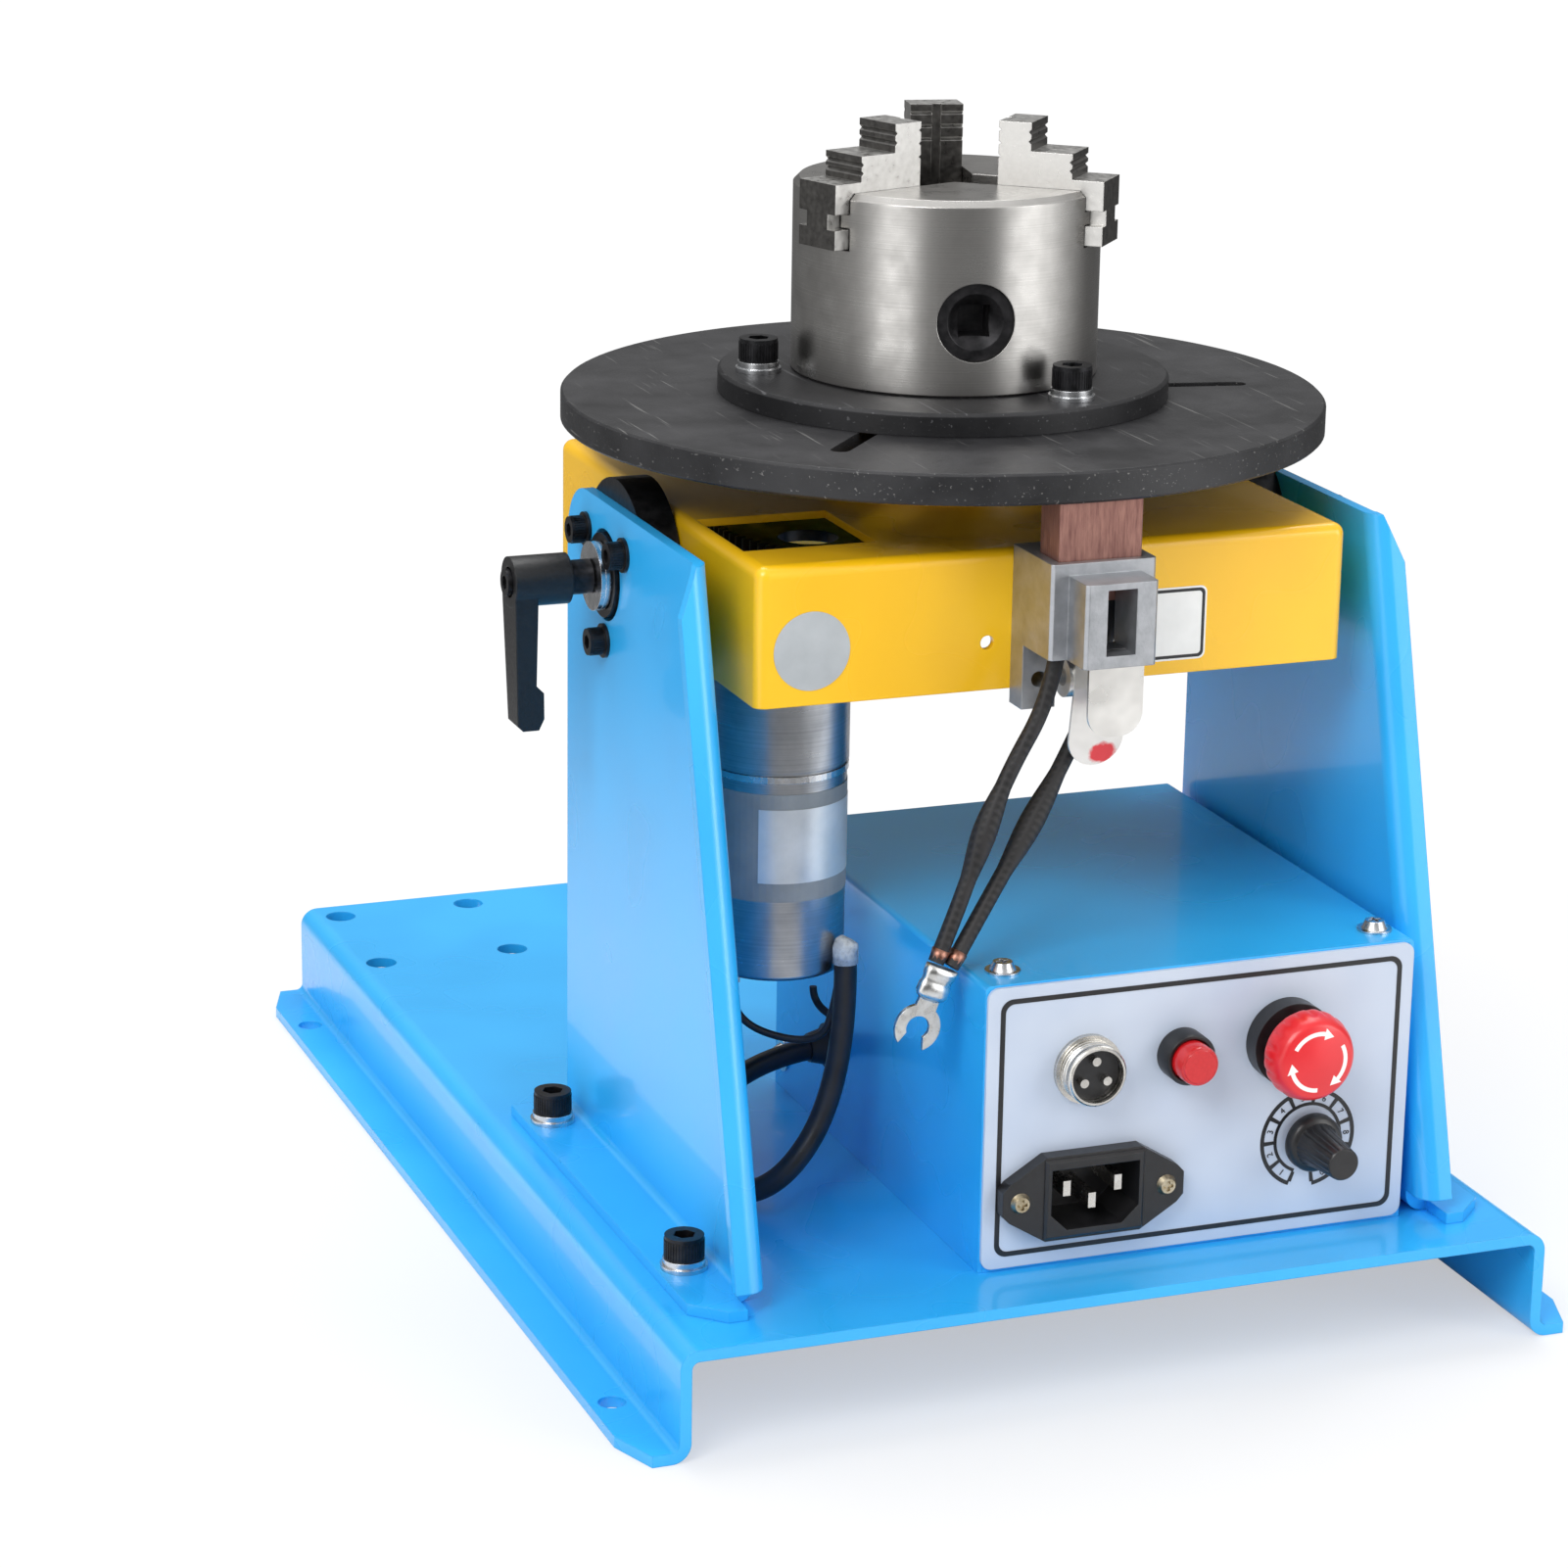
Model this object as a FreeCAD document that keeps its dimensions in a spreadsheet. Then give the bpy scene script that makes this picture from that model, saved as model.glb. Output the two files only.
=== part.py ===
"""Bench welding positioner: folded steel base, tilting table with a three-jaw scroll chuck,
gear-motor drive, brush earthing block and control box.

Millimetres, +Z up, +Y to the back. The origin is the middle of the footprint, on the bench.
Every driving size is a named cell of the "Sizes" sheet. The objects take their lengths and
places from those cells by expression, and each one is written to parts/ as its own STEP file.
"""
import FreeCAD
import Part
import Sketcher
import math
import os

from FreeCAD import Placement, Rotation, Vector

os.makedirs("parts", exist_ok=True)
doc = FreeCAD.newDocument("welding_positioner")
sheet = doc.addObject("Spreadsheet::Sheet", "Sizes")


# ---------------------------------------------------------------- values that carry their formula
class Q:
    """A number together with the sheet formula it came from."""

    def __init__(self, value, formula):
        self.v, self.e = float(value), formula

    def __add__(self, o):
        return Q(self.v + q(o).v, "(%s + %s)" % (self.e, q(o).e))

    def __sub__(self, o):
        return Q(self.v - q(o).v, "(%s - %s)" % (self.e, q(o).e))

    def __mul__(self, o):
        return Q(self.v * q(o).v, "(%s * %s)" % (self.e, q(o).e))

    def __truediv__(self, o):
        return Q(self.v / q(o).v, "(%s / %s)" % (self.e, q(o).e))

    def __rsub__(self, o):
        return q(o) - self

    def __neg__(self):
        return Q(-self.v, "(0 - %s)" % self.e)

    __radd__, __rmul__ = __add__, __mul__


def q(x):
    return x if isinstance(x, Q) else Q(x, "(%r)" % float(x))


def cosd(a):
    return Q(math.cos(math.radians(q(a).v)), "cos(%s * 1 deg)" % q(a).e)


def sind(a):
    return Q(math.sin(math.radians(q(a).v)), "sin(%s * 1 deg)" % q(a).e)


def size(alias, value, note):
    row = size.row = size.row + 1
    sheet.set("A%d" % row, note)
    sheet.set("B%d" % row, str(value))
    sheet.setAlias("B%d" % row, alias)
    return Q(value, "Sizes." + alias)


size.row = 0

# ---------------------------------------------------------------- sizes
# base plate
leg_w = size("leg_width", 236, "outside of one leg to outside of the other")
foot_w = size("foot_width", 12, "foot flange beyond the leg")
base_d = size("base_depth", 354, "base front to back")
base_h = size("base_height", 29, "bench to the top of the base")
plate_t = size("plate_thickness", 3, "base and bracket sheet")
bend_r = size("bend_inner_radius", 2, "inside radius of the heavy bends")
foot_cut_x = size("foot_corner_x", 5, "foot corner cut, across")
foot_cut_y = size("foot_corner_y", 14, "foot corner cut, along")
bench_hole_r = size("bench_hole_radius", 3.5, "bench screw hole")
bench_hole_in = size("bench_hole_edge", 5.8, "bench hole to the foot's edge")
bench_hole_y = size("bench_hole_pitch", 288.4, "bench holes front to back")
stand_r = size("stand_hole_radius", 4.5, "torch stand hole")
stand_dx = size("stand_pitch_x", 41, "torch stand holes across")
stand_dy = size("stand_pitch_y", 46, "torch stand holes along")
stand_x = size("stand_centre_x", -87.5, "torch stand pattern centre")
stand_y = size("stand_centre_y", 144, "torch stand pattern centre")
# brackets
web_in = size("web_inner_x", 90, "centre plane to the inside of a bracket web")
lip_w = size("bracket_lip", 5.5, "front flange beyond the web")
tread_w = size("bracket_foot", 16, "bracket foot beyond the web")
brk_front = size("bracket_front_y", 164, "front of the bracket foot")
brk_back = size("bracket_back_y", 12.5, "back edge of the bracket")
brk_top = size("bracket_top_z", 206, "top of the bracket")
brk_top_front = size("bracket_top_front_y", 115, "front end of the bracket's top edge")
brk_round = size("bracket_top_radius", 15, "back top corner of the bracket")
lip_cut = size("bracket_lip_cut", 12, "height of the cut corner of the front flange")
foot_bolt_x = size("foot_bolt_x", 102, "bracket bolts, across")
foot_bolt_y1 = size("foot_bolt_front_y", 134, "front bracket bolt")
foot_bolt_y2 = size("foot_bolt_back_y", 27.5, "back bracket bolt")
m6 = size("six_radius", 3, "M6 shank radius")
m6_hole = size("six_hole_radius", 3.3, "clearance hole for M6")
m6_head_r = size("six_head_radius", 5, "M6 socket head radius")
m6_head = size("six_head_height", 6, "M6 socket head height")
washer_r = size("six_washer_radius", 6, "M6 washer radius")
washer_t = size("six_washer_thickness", 1.2, "M6 washer thickness")
spring_r = size("six_spring_radius", 5.4, "M6 spring washer radius")
spring_t = size("six_spring_thickness", 1.6, "M6 spring washer thickness")
# tilt axis
tilt_y = size("tilt_axis_y", -43.5, "tilt axis")
tilt_z = size("tilt_axis_z", 187, "tilt axis")
hub_r = size("hub_radius", 25, "pivot hub disc")
boss_r = size("hub_boss_radius", 11, "pivot hub boss")
boss_out = size("hub_boss_out", 1, "boss beyond the outside of the web")
web_hole_r = size("web_hole_radius", 12, "hole in the bracket web")
shaft_r = size("trunnion_radius", 8, "trunnion radius")
run_gap = size("running_clearance", 0.05, "radial clearance of a running fit")
gap = size("body_gap", 0.4, "gap between neighbours that move apart")
pivot_pcd_r = size("pivot_screw_circle", 17.5, "pivot screws, pitch circle radius")
m4 = size("four_radius", 2, "M4 shank radius")
m4_head_r = size("four_head_radius", 3.5, "M4 socket head radius")
m4_head = size("four_head_height", 4, "M4 socket head height")
m4_washer_r = size("four_washer_radius", 4.5, "M4 washer radius")
m4_washer_t = size("four_washer_thickness", 0.9, "M4 washer thickness")
# tilting housing
hsg_x = size("housing_half_width", 80, "centre plane to the outside of the housing")
hsg_front = size("housing_front_y", 121, "front of the housing")
hsg_back = size("housing_back_y", 34, "back of the housing")
hsg_top = size("housing_top_z", 206, "top of the housing")
hsg_h = size("housing_height", 35.5, "height of the housing skirt")
hsg_t = size("housing_sheet", 2, "housing sheet")
hsg_r = size("housing_bend_radius", 3, "outside radius of the housing bends")
port_x = size("port_centre_x", -59.5, "access port over the motor")
port_y = size("port_centre_y", -85.5, "access port over the motor")
port_w = size("port_width", 35, "access port across")
port_d = size("port_depth", 35, "access port along")
# table and spindle
table_r = size("table_radius", 100, "table radius")
table_t = size("table_thickness", 8, "table thickness")
table_top = size("table_top_z", 230, "table top")
slot_w = size("table_slot_width", 5, "radial slot in the table")
slot_in = size("table_slot_inner", 40, "inner end of a slot")
slot_out = size("table_slot_outer", 82, "outer end of a slot")
spin_deg = size("table_turn_at_rest", -11, "turn of the chuck and table at rest")
flange_t = size("chuck_flange_thickness", 6, "chuck flange thickness")
spindle_r = size("spindle_radius", 10, "spindle journal")
spindle_bore_r = size("spindle_bore_radius", 5, "hole through the spindle")
nose_r = size("spindle_nose_radius", 15, "threaded nose in the table")
brg_r = size("bearing_outer_radius", 16, "spindle bearing outside")
brg_w = size("bearing_width", 7, "spindle bearing width")
brg_low = size("bearing_bottom_z", 202, "bottom of the lower bearing")
cup_r = size("bearing_cup_radius", 21, "bearing cup radius")
# drive
gear_m = size("gear_module", 1, "gear module")
gear_n = size("gear_teeth", 125, "teeth on the table gear")
pin_n = size("pinion_teeth", 13, "teeth on the motor pinion")
gear_w = size("gear_face_width", 8, "face width of the gears")
gear_low = size("gear_bottom_z", 190, "bottom face of the gears")
pin_deg = size("pinion_direction", 217.8, "direction of the pinion from the spindle")
motor_ecc = size("motor_offset", 7, "output shaft off the motor axis")
motor_r = size("motor_radius", 18.5, "gearbox radius")
can_r = size("can_radius", 18, "motor can radius")
motor_top = size("motor_face_z", 174, "mounting face of the gearbox")
gearbox_h = size("gearbox_height", 28, "gearbox height")
can_h = size("can_height", 55.5, "motor can height")
# chuck
chuck_r = size("chuck_radius", 40, "chuck radius")
chuck_h = size("chuck_height", 50, "chuck body height")
flange_bolt_in = size("chuck_flange_bolt_offset", 9, "side of the chuck to the flange bolts")
flange_rim = size("chuck_flange_rim", 10, "flange bolts to the rim of the flange")
flange_pcd_r = chuck_r + flange_bolt_in
flange_r = flange_pcd_r + flange_rim
chuck_bore_r = size("chuck_bore_radius", 8, "through bore of the chuck")
jaw_w = size("jaw_width", 14, "jaw width")
jaw_neck = size("jaw_neck_width", 8, "jaw width in the guide grooves")
jaw_at = size("jaw_inner_radius", 15.7, "jaw face to the chuck axis at rest")
jaw_gap = size("jaw_clearance", 0.3, "gap between jaw and body")
step1 = size("jaw_first_step", 8.7, "radial length of the top step")
step2 = size("jaw_second_step", 19.8, "radial length to the second riser")
step3 = size("jaw_length", 28.3, "radial length of the jaw")
rise1 = size("jaw_top_rise", 16.4, "top step above the chuck face")
rise2 = size("jaw_middle_rise", 9.1, "middle step above the chuck face")
rise3 = size("jaw_low_rise", 2.6, "low step above the chuck face")
jaw_sink = size("jaw_sink", 14, "jaw foot below the chuck face")
scroll_p = size("scroll_pitch", 5, "jaw travel for one turn of the scroll")
scroll_r = size("scroll_radius", 33.6, "scroll plate radius")
ridge_t = size("scroll_ridge", 1.8, "thickness of the scroll ridge")
tooth_t = size("jaw_tooth", 1.4, "thickness of a jaw tooth")
tooth_half = size("jaw_tooth_half_width", 3.2, "half the width of a jaw tooth")
key_z = size("key_height", 19.2, "key pinions above the chuck's back")
key_r = size("key_boss_radius", 10, "outer diameter of a key pinion, halved")
key_sq = size("key_square", 8, "square of the chuck key")
face_n = size("scroll_face_teeth", 51, "teeth under the scroll")
key_n = size("key_teeth", 14, "teeth on a key pinion")
# brush block
blk_x = size("block_centre_x", 1.45, "brush block centre")
blk_w = size("block_width", 28, "brush block width")
blk_front = size("block_front_y", 144.5, "front of the brush block")
blk_low = size("block_bottom_z", 183.4, "underside of the brush block")
blk_h = size("block_height", 24.1, "brush block height")
brush_w = size("brush_width", 22.2, "brush width")
brush_d = size("brush_depth", 12, "brush depth")
brush_h = size("brush_length", 25, "brush length")
brush_front = size("brush_front_y", 142, "front of the brush")
brush_gap = size("brush_clearance", 0.3, "gap between brush and block")
# control box
box_x = size("box_left_x", -31.5, "left side of the control box")
box_w = size("box_width", 118.5, "control box width")
box_front = size("box_front_y", 156, "front of the control box")
box_d = size("box_depth", 145, "control box depth")
box_h = size("box_height", 76, "control box height")
box_t = size("box_sheet", 1.2, "control box sheet")
label_t = size("label_thickness", 1, "front label plate")
inlet_x = size("inlet_x", -2.6, "mains inlet centre")
inlet_z = size("inlet_z", 48.6, "mains inlet centre")
socket_x = size("foot_socket_x", -4, "round socket centre")
socket_z = size("foot_socket_z", 81, "round socket centre")
lamp_x = size("lamp_x", 22, "lamp centre")
lamp_z = size("lamp_z", 82, "lamp centre")
stop_x = size("stop_x", 51, "stop button centre")
stop_z = size("stop_z", 82.5, "stop button centre")
stop_r = size("stop_cap_radius", 13.2, "stop button cap radius")
knob_x = size("knob_x", 58.7, "speed knob centre")
knob_z = size("knob_z", 54.7, "speed knob centre")
knob_r = size("knob_radius", 7.8, "speed knob skirt radius")
# clamp levers
lever_len = size("lever_length", 39, "lever axis to the tip")
lever_hub_r = size("lever_hub_radius", 6.6, "lever hub radius")
lever_lift = size("lever_lift", 4, "travel of a lifted lever")
# cords
lead_r = size("lead_radius", 2.1, "brush lead radius")
cable_r = size("cable_radius", 3, "motor cable radius")

half_w = leg_w / 2
top_z = base_h
web_out = web_in + plate_t
table_low = table_top - table_t
flange_top = table_top + flange_t
chuck_top = flange_top + chuck_h
axle_y = tilt_y                                   # the spindle crosses the tilt axis
centre_distance = (gear_n + pin_n) * gear_m / 2
pinion_x = cosd(pin_deg) * centre_distance
pinion_y = axle_y + sind(pin_deg) * centre_distance
motor_x = pinion_x + cosd(pin_deg - 90) * motor_ecc
motor_y = pinion_y + sind(pin_deg - 90) * motor_ecc
box_right = box_x + box_w
box_back = -box_front + box_d
box_top = top_z + box_h
hsg_low = hsg_top - hsg_h
blk_top = blk_low + blk_h


# ---------------------------------------------------------------- building helpers
NODES = {}
TURN = {"+z": Rotation(), "-z": Rotation(Vector(1, 0, 0), 180), "+x": Rotation(Vector(0, 1, 0), 90),
        "-x": Rotation(Vector(0, 1, 0), -90), "+y": Rotation(Vector(1, 0, 0), -90),
        "-y": Rotation(Vector(1, 0, 0), 90)}


def node(obj, name, colour=(0.6, 0.6, 0.6)):
    """Keep an object as a finished sub-part under its file name."""
    obj.Label = name
    NODES[name] = obj
    return obj


def place(obj, x=0, y=0, z=0, turn=None):
    """Move an object to a place taken from the sheet."""
    if turn is not None:
        obj.Placement = Placement(Vector(), TURN[turn] if isinstance(turn, str) else turn)
    for axis, value in zip("xyz", (x, y, z)):
        obj.setExpression("Placement.Base." + axis, q(value).e)
    return obj


def bind(obj, **values):
    for name, value in values.items():
        obj.setExpression(name, q(value).e)
    return obj


def cyl(r, length, x=0, y=0, z=0, turn="+z"):
    obj = bind(doc.addObject("Part::Cylinder", "Cylinder"), Radius=r, Height=length)
    return place(obj, x, y, z, turn)


def cone(r1, r2, length, x=0, y=0, z=0, turn="+z"):
    obj = bind(doc.addObject("Part::Cone", "Cone"), Radius1=r1, Radius2=r2, Height=length)
    return place(obj, x, y, z, turn)


def box(x0, y0, z0, dx, dy, dz):
    obj = bind(doc.addObject("Part::Box", "Box"), Length=dx, Width=dy, Height=dz)
    return place(obj, x0, y0, z0)


def hexagon(r, length, x=0, y=0, z=0, turn="+z"):
    obj = bind(doc.addObject("Part::Prism", "Prism"), Circumradius=r, Height=length)
    obj.Polygon = 6
    return place(obj, x, y, z, turn)


def fuse(*parts):
    obj = doc.addObject("Part::MultiFuse", "Fusion")
    obj.Shapes = list(parts)
    obj.Refine = True
    return obj


def cut(base, *tools):
    obj = doc.addObject("Part::Cut", "Cut")
    obj.Base, obj.Tool = base, tools[0] if len(tools) == 1 else fuse(*tools)
    return obj


def group(*parts):
    obj = doc.addObject("Part::Compound", "Group")
    obj.Links = list(parts)
    return obj


def mirrored(source):
    """A copy of an object reflected across the centre plane."""
    obj = doc.addObject("Part::Mirroring", "Mirror")
    obj.Source, obj.Normal = source, Vector(1, 0, 0)
    return obj


def new_body(name):
    return doc.addObject("PartDesign::Body", "Body_" + name)


def sketch(body, plane, offset=0):
    """A sketch on one of the body's own origin planes, moved along that plane's normal."""
    sk = body.newObject("Sketcher::SketchObject", "Sketch")
    flat = next(f for f in body.Origin.OriginFeatures if f.Role == plane + "_Plane")
    sk.AttachmentSupport, sk.MapMode = [(flat, "")], "FlatFace"
    sk.setExpression("AttachmentOffset.Base.z", q(offset).e)
    return sk


def pin_point(sk, geo, pos, x, y):
    for kind, value in (("DistanceX", x), ("DistanceY", y)):
        n = sk.addConstraint(Sketcher.Constraint(kind, geo, pos, q(value).v))
        sk.setExpression("Constraints[%d]" % n, q(value).e)


def outline(sk, points):
    """A closed polygon whose corners are all held by the sheet."""
    pts = [(q(x), q(y)) for x, y in points]
    first = sk.GeometryCount
    count = len(pts)
    for i in range(count):
        a, b = pts[i], pts[(i + 1) % count]
        sk.addGeometry(Part.LineSegment(Vector(a[0].v, a[1].v, 0), Vector(b[0].v, b[1].v, 0)), False)
    for i in range(count):
        sk.addConstraint(Sketcher.Constraint("Coincident", first + i, 2, first + (i + 1) % count, 1))
        pin_point(sk, first + i, 1, *pts[i])
    return sk


def rect(sk, x0, y0, x1, y1):
    return outline(sk, [(x0, y0), (x1, y0), (x1, y1), (x0, y1)])


def circle(sk, x, y, r):
    x, y, r = q(x), q(y), q(r)
    g = sk.addGeometry(Part.Circle(Vector(x.v, y.v, 0), Vector(0, 0, 1), r.v), False)
    pin_point(sk, g, 3, x, y)
    n = sk.addConstraint(Sketcher.Constraint("Radius", g, r.v))
    sk.setExpression("Constraints[%d]" % n, r.e)
    return sk


def feature(body, kind, sk, length=None, both=False, back=False):
    f = body.newObject("PartDesign::" + kind, kind)
    f.Profile = sk
    if length is not None:
        f.setExpression("Length", q(length).e)
    f.Midplane, f.Reversed = both, back
    sk.Visibility = False
    return f


def pad(body, sk, length, both=False, back=False):
    return feature(body, "Pad", sk, length, both, back)


def pocket(body, sk, length, both=False, back=False):
    """Cut along the sketch normal's far side; back cuts along the normal. Must take material."""
    doc.recompute()
    before = body.Shape.Volume
    f = feature(body, "Pocket", sk, length, both, back)
    doc.recompute()
    if body.Shape.Volume > before - 1e-6:
        raise ValueError("pocket in %s takes nothing" % body.Name)
    return f


def turned(body, sk, cutting=False):
    """Turn a sketch about its own vertical axis."""
    f = body.newObject("PartDesign::Groove" if cutting else "PartDesign::Revolution", "Turned")
    f.Profile, f.ReferenceAxis, f.Angle = sk, (sk, ["V_Axis"]), 360
    sk.Visibility = False
    return f


def around(body, features, count, role="Z_Axis"):
    """Repeat features round one of the body's own axes."""
    f = body.newObject("PartDesign::PolarPattern", "Around")
    f.Originals = features
    axis = next(a for a in body.Origin.OriginFeatures if a.Role == role)
    f.Axis, f.Angle, f.Occurrences = (axis, [""]), 360, count
    body.Tip = f
    return f


def dress(body, kind, amount, test):
    """Fillet or chamfer the edges of the tip that pass a test on their midpoint and direction."""
    doc.recompute()
    tip = body.Tip
    names = []
    for i, e in enumerate(tip.Shape.Edges):
        a, b = e.Vertexes[0].Point, e.Vertexes[-1].Point
        mid = e.valueAt((e.FirstParameter + e.LastParameter) / 2)
        if test(mid, (b - a)):
            names.append("Edge%d" % (i + 1))
    if not names:
        raise ValueError("no edges to dress in " + body.Name)
    f = body.newObject("PartDesign::" + kind, kind)
    f.Base = (tip, names)
    f.setExpression("Radius" if kind == "Fillet" else "Size", q(amount).e)
    body.Tip = f
    return f


def near(a, b, tol=0.02):
    return abs(a - q(b).v) < tol


def along(d, axis):
    return d.Length > 1e-6 and abs(getattr(d, axis)) > 0.999 * d.Length


def ring(r_out, r_in, length, x, y, z, turn="+z"):
    return cut(cyl(r_out, length, x, y, z, turn), cyl(r_in, length, x, y, z, turn))


def socket_screw(x, y, z, turn, head_r, head, shank_r, shank):
    """Hexagon-socket cap screw: the place is under the head, the turn points to the head."""
    way = {"+": 1, "-": -1}[turn[0]]
    axis = "xyz".index(turn[1])
    back = {"+z": "-z", "-z": "+z", "+x": "-x", "-x": "+x", "+y": "-y", "-y": "+y"}[turn]

    def shift(n):
        at = [q(x), q(y), q(z)]
        at[axis] = at[axis] + q(n) * way
        return at
    body = fuse(cyl(head_r, head, *shift(0), turn=turn), cyl(shank_r, shank, *shift(0), turn=back))
    return cut(body, hexagon(q(head_r) * 0.57, q(head) * 0.55, *shift(q(head) * 0.45), turn=turn))


def wire_tube(points, radius, name):
    """A cord as a round tube: straight runs joined by tangent arcs."""
    pts = [Vector(*p) for p in points]
    runs = [(b - a).Length for a, b in zip(pts, pts[1:])]
    edges, start, radii = [], pts[0], []
    for i in range(1, len(pts) - 1):
        u, w = (pts[i] - pts[i - 1]).normalize(), (pts[i + 1] - pts[i]).normalize()
        half = u.getAngle(w) / 2
        reach = 0.45 * min(runs[i - 1], runs[i])
        r = reach / math.tan(half)
        radii.append(r)
        a, b = pts[i] - u * reach, pts[i] + w * reach
        mid_dir = (w - u).normalize()
        mid = pts[i] + mid_dir * (r / math.cos(half) - r)
        edges += [Part.LineSegment(start, a).toShape(), Part.Arc(a, mid, b).toShape()]
        start = b
    edges.append(Part.LineSegment(start, pts[-1]).toShape())
    path = Part.Wire(edges)
    first = (pts[1] - pts[0]).normalize()
    disc = Part.Wire([Part.Circle(pts[0], first, radius).toShape()])
    tube = path.makePipeShell([disc], True, False)
    want = math.pi * radius ** 2 * path.Length
    print("%s: length %.1f, radii %s, volume %.3f of section x length"
          % (name, path.Length, ["%.1f" % r for r in radii], tube.Volume / want))
    return tube


def root(a):
    return Q(math.sqrt(q(a).v), "sqrt(%s)" % q(a).e)


BOTH = (1, -1)
BLUE, YELLOW, BLACK = (0.18, 0.6, 0.92), (1.0, 0.78, 0.1), (0.1, 0.1, 0.1)

# ---------------------------------------------------------------- base plate: one folded sheet
base = new_body("base_plate")
tip_x, leg_in = half_w + foot_w, half_w - plate_t
section = outline(sketch(base, "XZ"), [
    (-tip_x, 0), (-leg_in, 0), (-leg_in, top_z - plate_t), (leg_in, top_z - plate_t), (leg_in, 0),
    (tip_x, 0), (tip_x, plate_t), (half_w, plate_t), (half_w, top_z), (-half_w, top_z),
    (-half_w, plate_t), (-tip_x, plate_t)])
pad(base, section, base_d, both=True)
dress(base, "Fillet", bend_r, lambda p, d: along(d, "y") and (
    near(abs(p.x), half_w) and near(p.z, plate_t) or near(abs(p.x), leg_in) and near(p.z, top_z - plate_t)))
dress(base, "Fillet", bend_r + plate_t, lambda p, d: along(d, "y") and (
    near(abs(p.x), half_w) and near(p.z, top_z) or near(abs(p.x), leg_in) and near(p.z, 0)))
clinch = sketch(base, "XY", top_z - plate_t)
for sx in BOTH:
    for y in (foot_bolt_y1, foot_bolt_y2):
        circle(clinch, foot_bolt_x * sx, -y, m6 + 1.8)
pad(base, clinch, 3.5, back=True)
holes = sketch(base, "XY", top_z)
for sx in BOTH:
    for y in (foot_bolt_y1, foot_bolt_y2):
        circle(holes, foot_bolt_x * sx, -y, m6)
    for sy in BOTH:
        circle(holes, stand_x + stand_dx * (sx / 2), stand_y + stand_dy * (sy / 2), stand_r)
pocket(base, holes, plate_t + 4)
feet = sketch(base, "XY", plate_t + 1)
for sx in BOTH:
    for sy in BOTH:
        circle(feet, (tip_x - bench_hole_in) * sx, bench_hole_y * (sy / 2), bench_hole_r)
        edge_x, edge_y = tip_x * sx, base_d * (sy / 2)
        outline(feet, [(edge_x + sx, edge_y - foot_cut_y * sy), (edge_x, edge_y - foot_cut_y * sy),
                       (edge_x - foot_cut_x * sx, edge_y), (edge_x - foot_cut_x * sx, edge_y + sy),
                       (edge_x + sx, edge_y + sy)])
pocket(base, feet, plate_t + 2)
node(base, "base_plate", BLUE)

# ---------------------------------------------------------------- brackets: web, foot and front flange
bracket = new_body("bracket_right")
lean = (brk_front - brk_top_front) / (brk_top - top_z)
skew = plate_t * root(lean * lean + 1)
tread_top = top_z + plate_t
relief = size("bend_relief", 6, "notch where the three faces of a bracket meet")
lip_low = top_z + relief
web_front = relief + bend_r + plate_t - brk_front
web = outline(sketch(bracket, "YZ", web_in), [
    (web_front, top_z), (-brk_back, top_z), (-brk_back, brk_top), (-brk_top_front, brk_top),
    (lean * relief - brk_front, lip_low), (web_front, lip_low)])
pad(bracket, web, plate_t)
tread = outline(sketch(bracket, "XY", top_z), [
    (web_in, web_front), (web_out + bend_r + 1, web_front), (web_out + bend_r + 1, -brk_front),
    (web_out + tread_w - 8, -brk_front), (web_out + tread_w, -brk_front + 8),
    (web_out + tread_w, -brk_back), (web_in, -brk_back)])
pad(bracket, tread, plate_t)
lip = outline(sketch(bracket, "YZ", web_in), [
    (lean * (lip_low - top_z) - brk_front, lip_low), (lean * (lip_low - top_z) - brk_front + skew, lip_low),
    (-brk_top_front + skew, brk_top), (-brk_top_front, brk_top)])
pad(bracket, lip, plate_t + lip_w)
slope = Vector(0, lean.v, 1).normalize()
on_front = lambda p, extra: near(p.y, lean * (p.z - top_z.v) - brk_front + extra, 0.05)
dress(bracket, "Fillet", bend_r, lambda p, d: (
    near(p.x, web_out) and (along(d, "y") and near(p.z, tread_top)
                            or abs(d.normalize().dot(slope)) > 0.999 and on_front(p, skew))))
dress(bracket, "Fillet", bend_r + plate_t, lambda p, d: (
    near(p.x, web_in) and along(d, "y") and near(p.z, top_z)))
dress(bracket, "Fillet", bend_r + plate_t, lambda p, d: (
    near(p.x, web_in) and abs(d.normalize().dot(slope)) > 0.999 and on_front(p, 0)))
dress(bracket, "Fillet", brk_round, lambda p, d: along(d, "x") and near(p.y, -brk_back)
      and near(p.z, brk_top))
side = sketch(bracket, "YZ", web_out + 1)
circle(side, tilt_y, tilt_z, web_hole_r)
for deg in (30, 150, 270):
    circle(side, tilt_y + cosd(deg) * pivot_pcd_r, tilt_z + sind(deg) * pivot_pcd_r, m4 + 0.2)
pocket(bracket, side, plate_t + 2)
treads = sketch(bracket, "XY", tread_top)
for y in (foot_bolt_y1, foot_bolt_y2):
    circle(treads, foot_bolt_x, -y, m6_hole)
pocket(bracket, treads, plate_t)
corner = outline(sketch(bracket, "XZ", brk_top_front + 6), [
    (web_out + lip_w + 1, brk_top - lip_cut), (web_out + lip_w, brk_top - lip_cut), (web_out + 0.5, brk_top),
    (web_out + 0.5, brk_top + 1), (web_out + lip_w + 1, brk_top + 1)])
pocket(bracket, corner, 20, both=True)
node(bracket, "bracket_right", BLUE)
node(mirrored(bracket), "bracket_left", BLUE)

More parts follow.
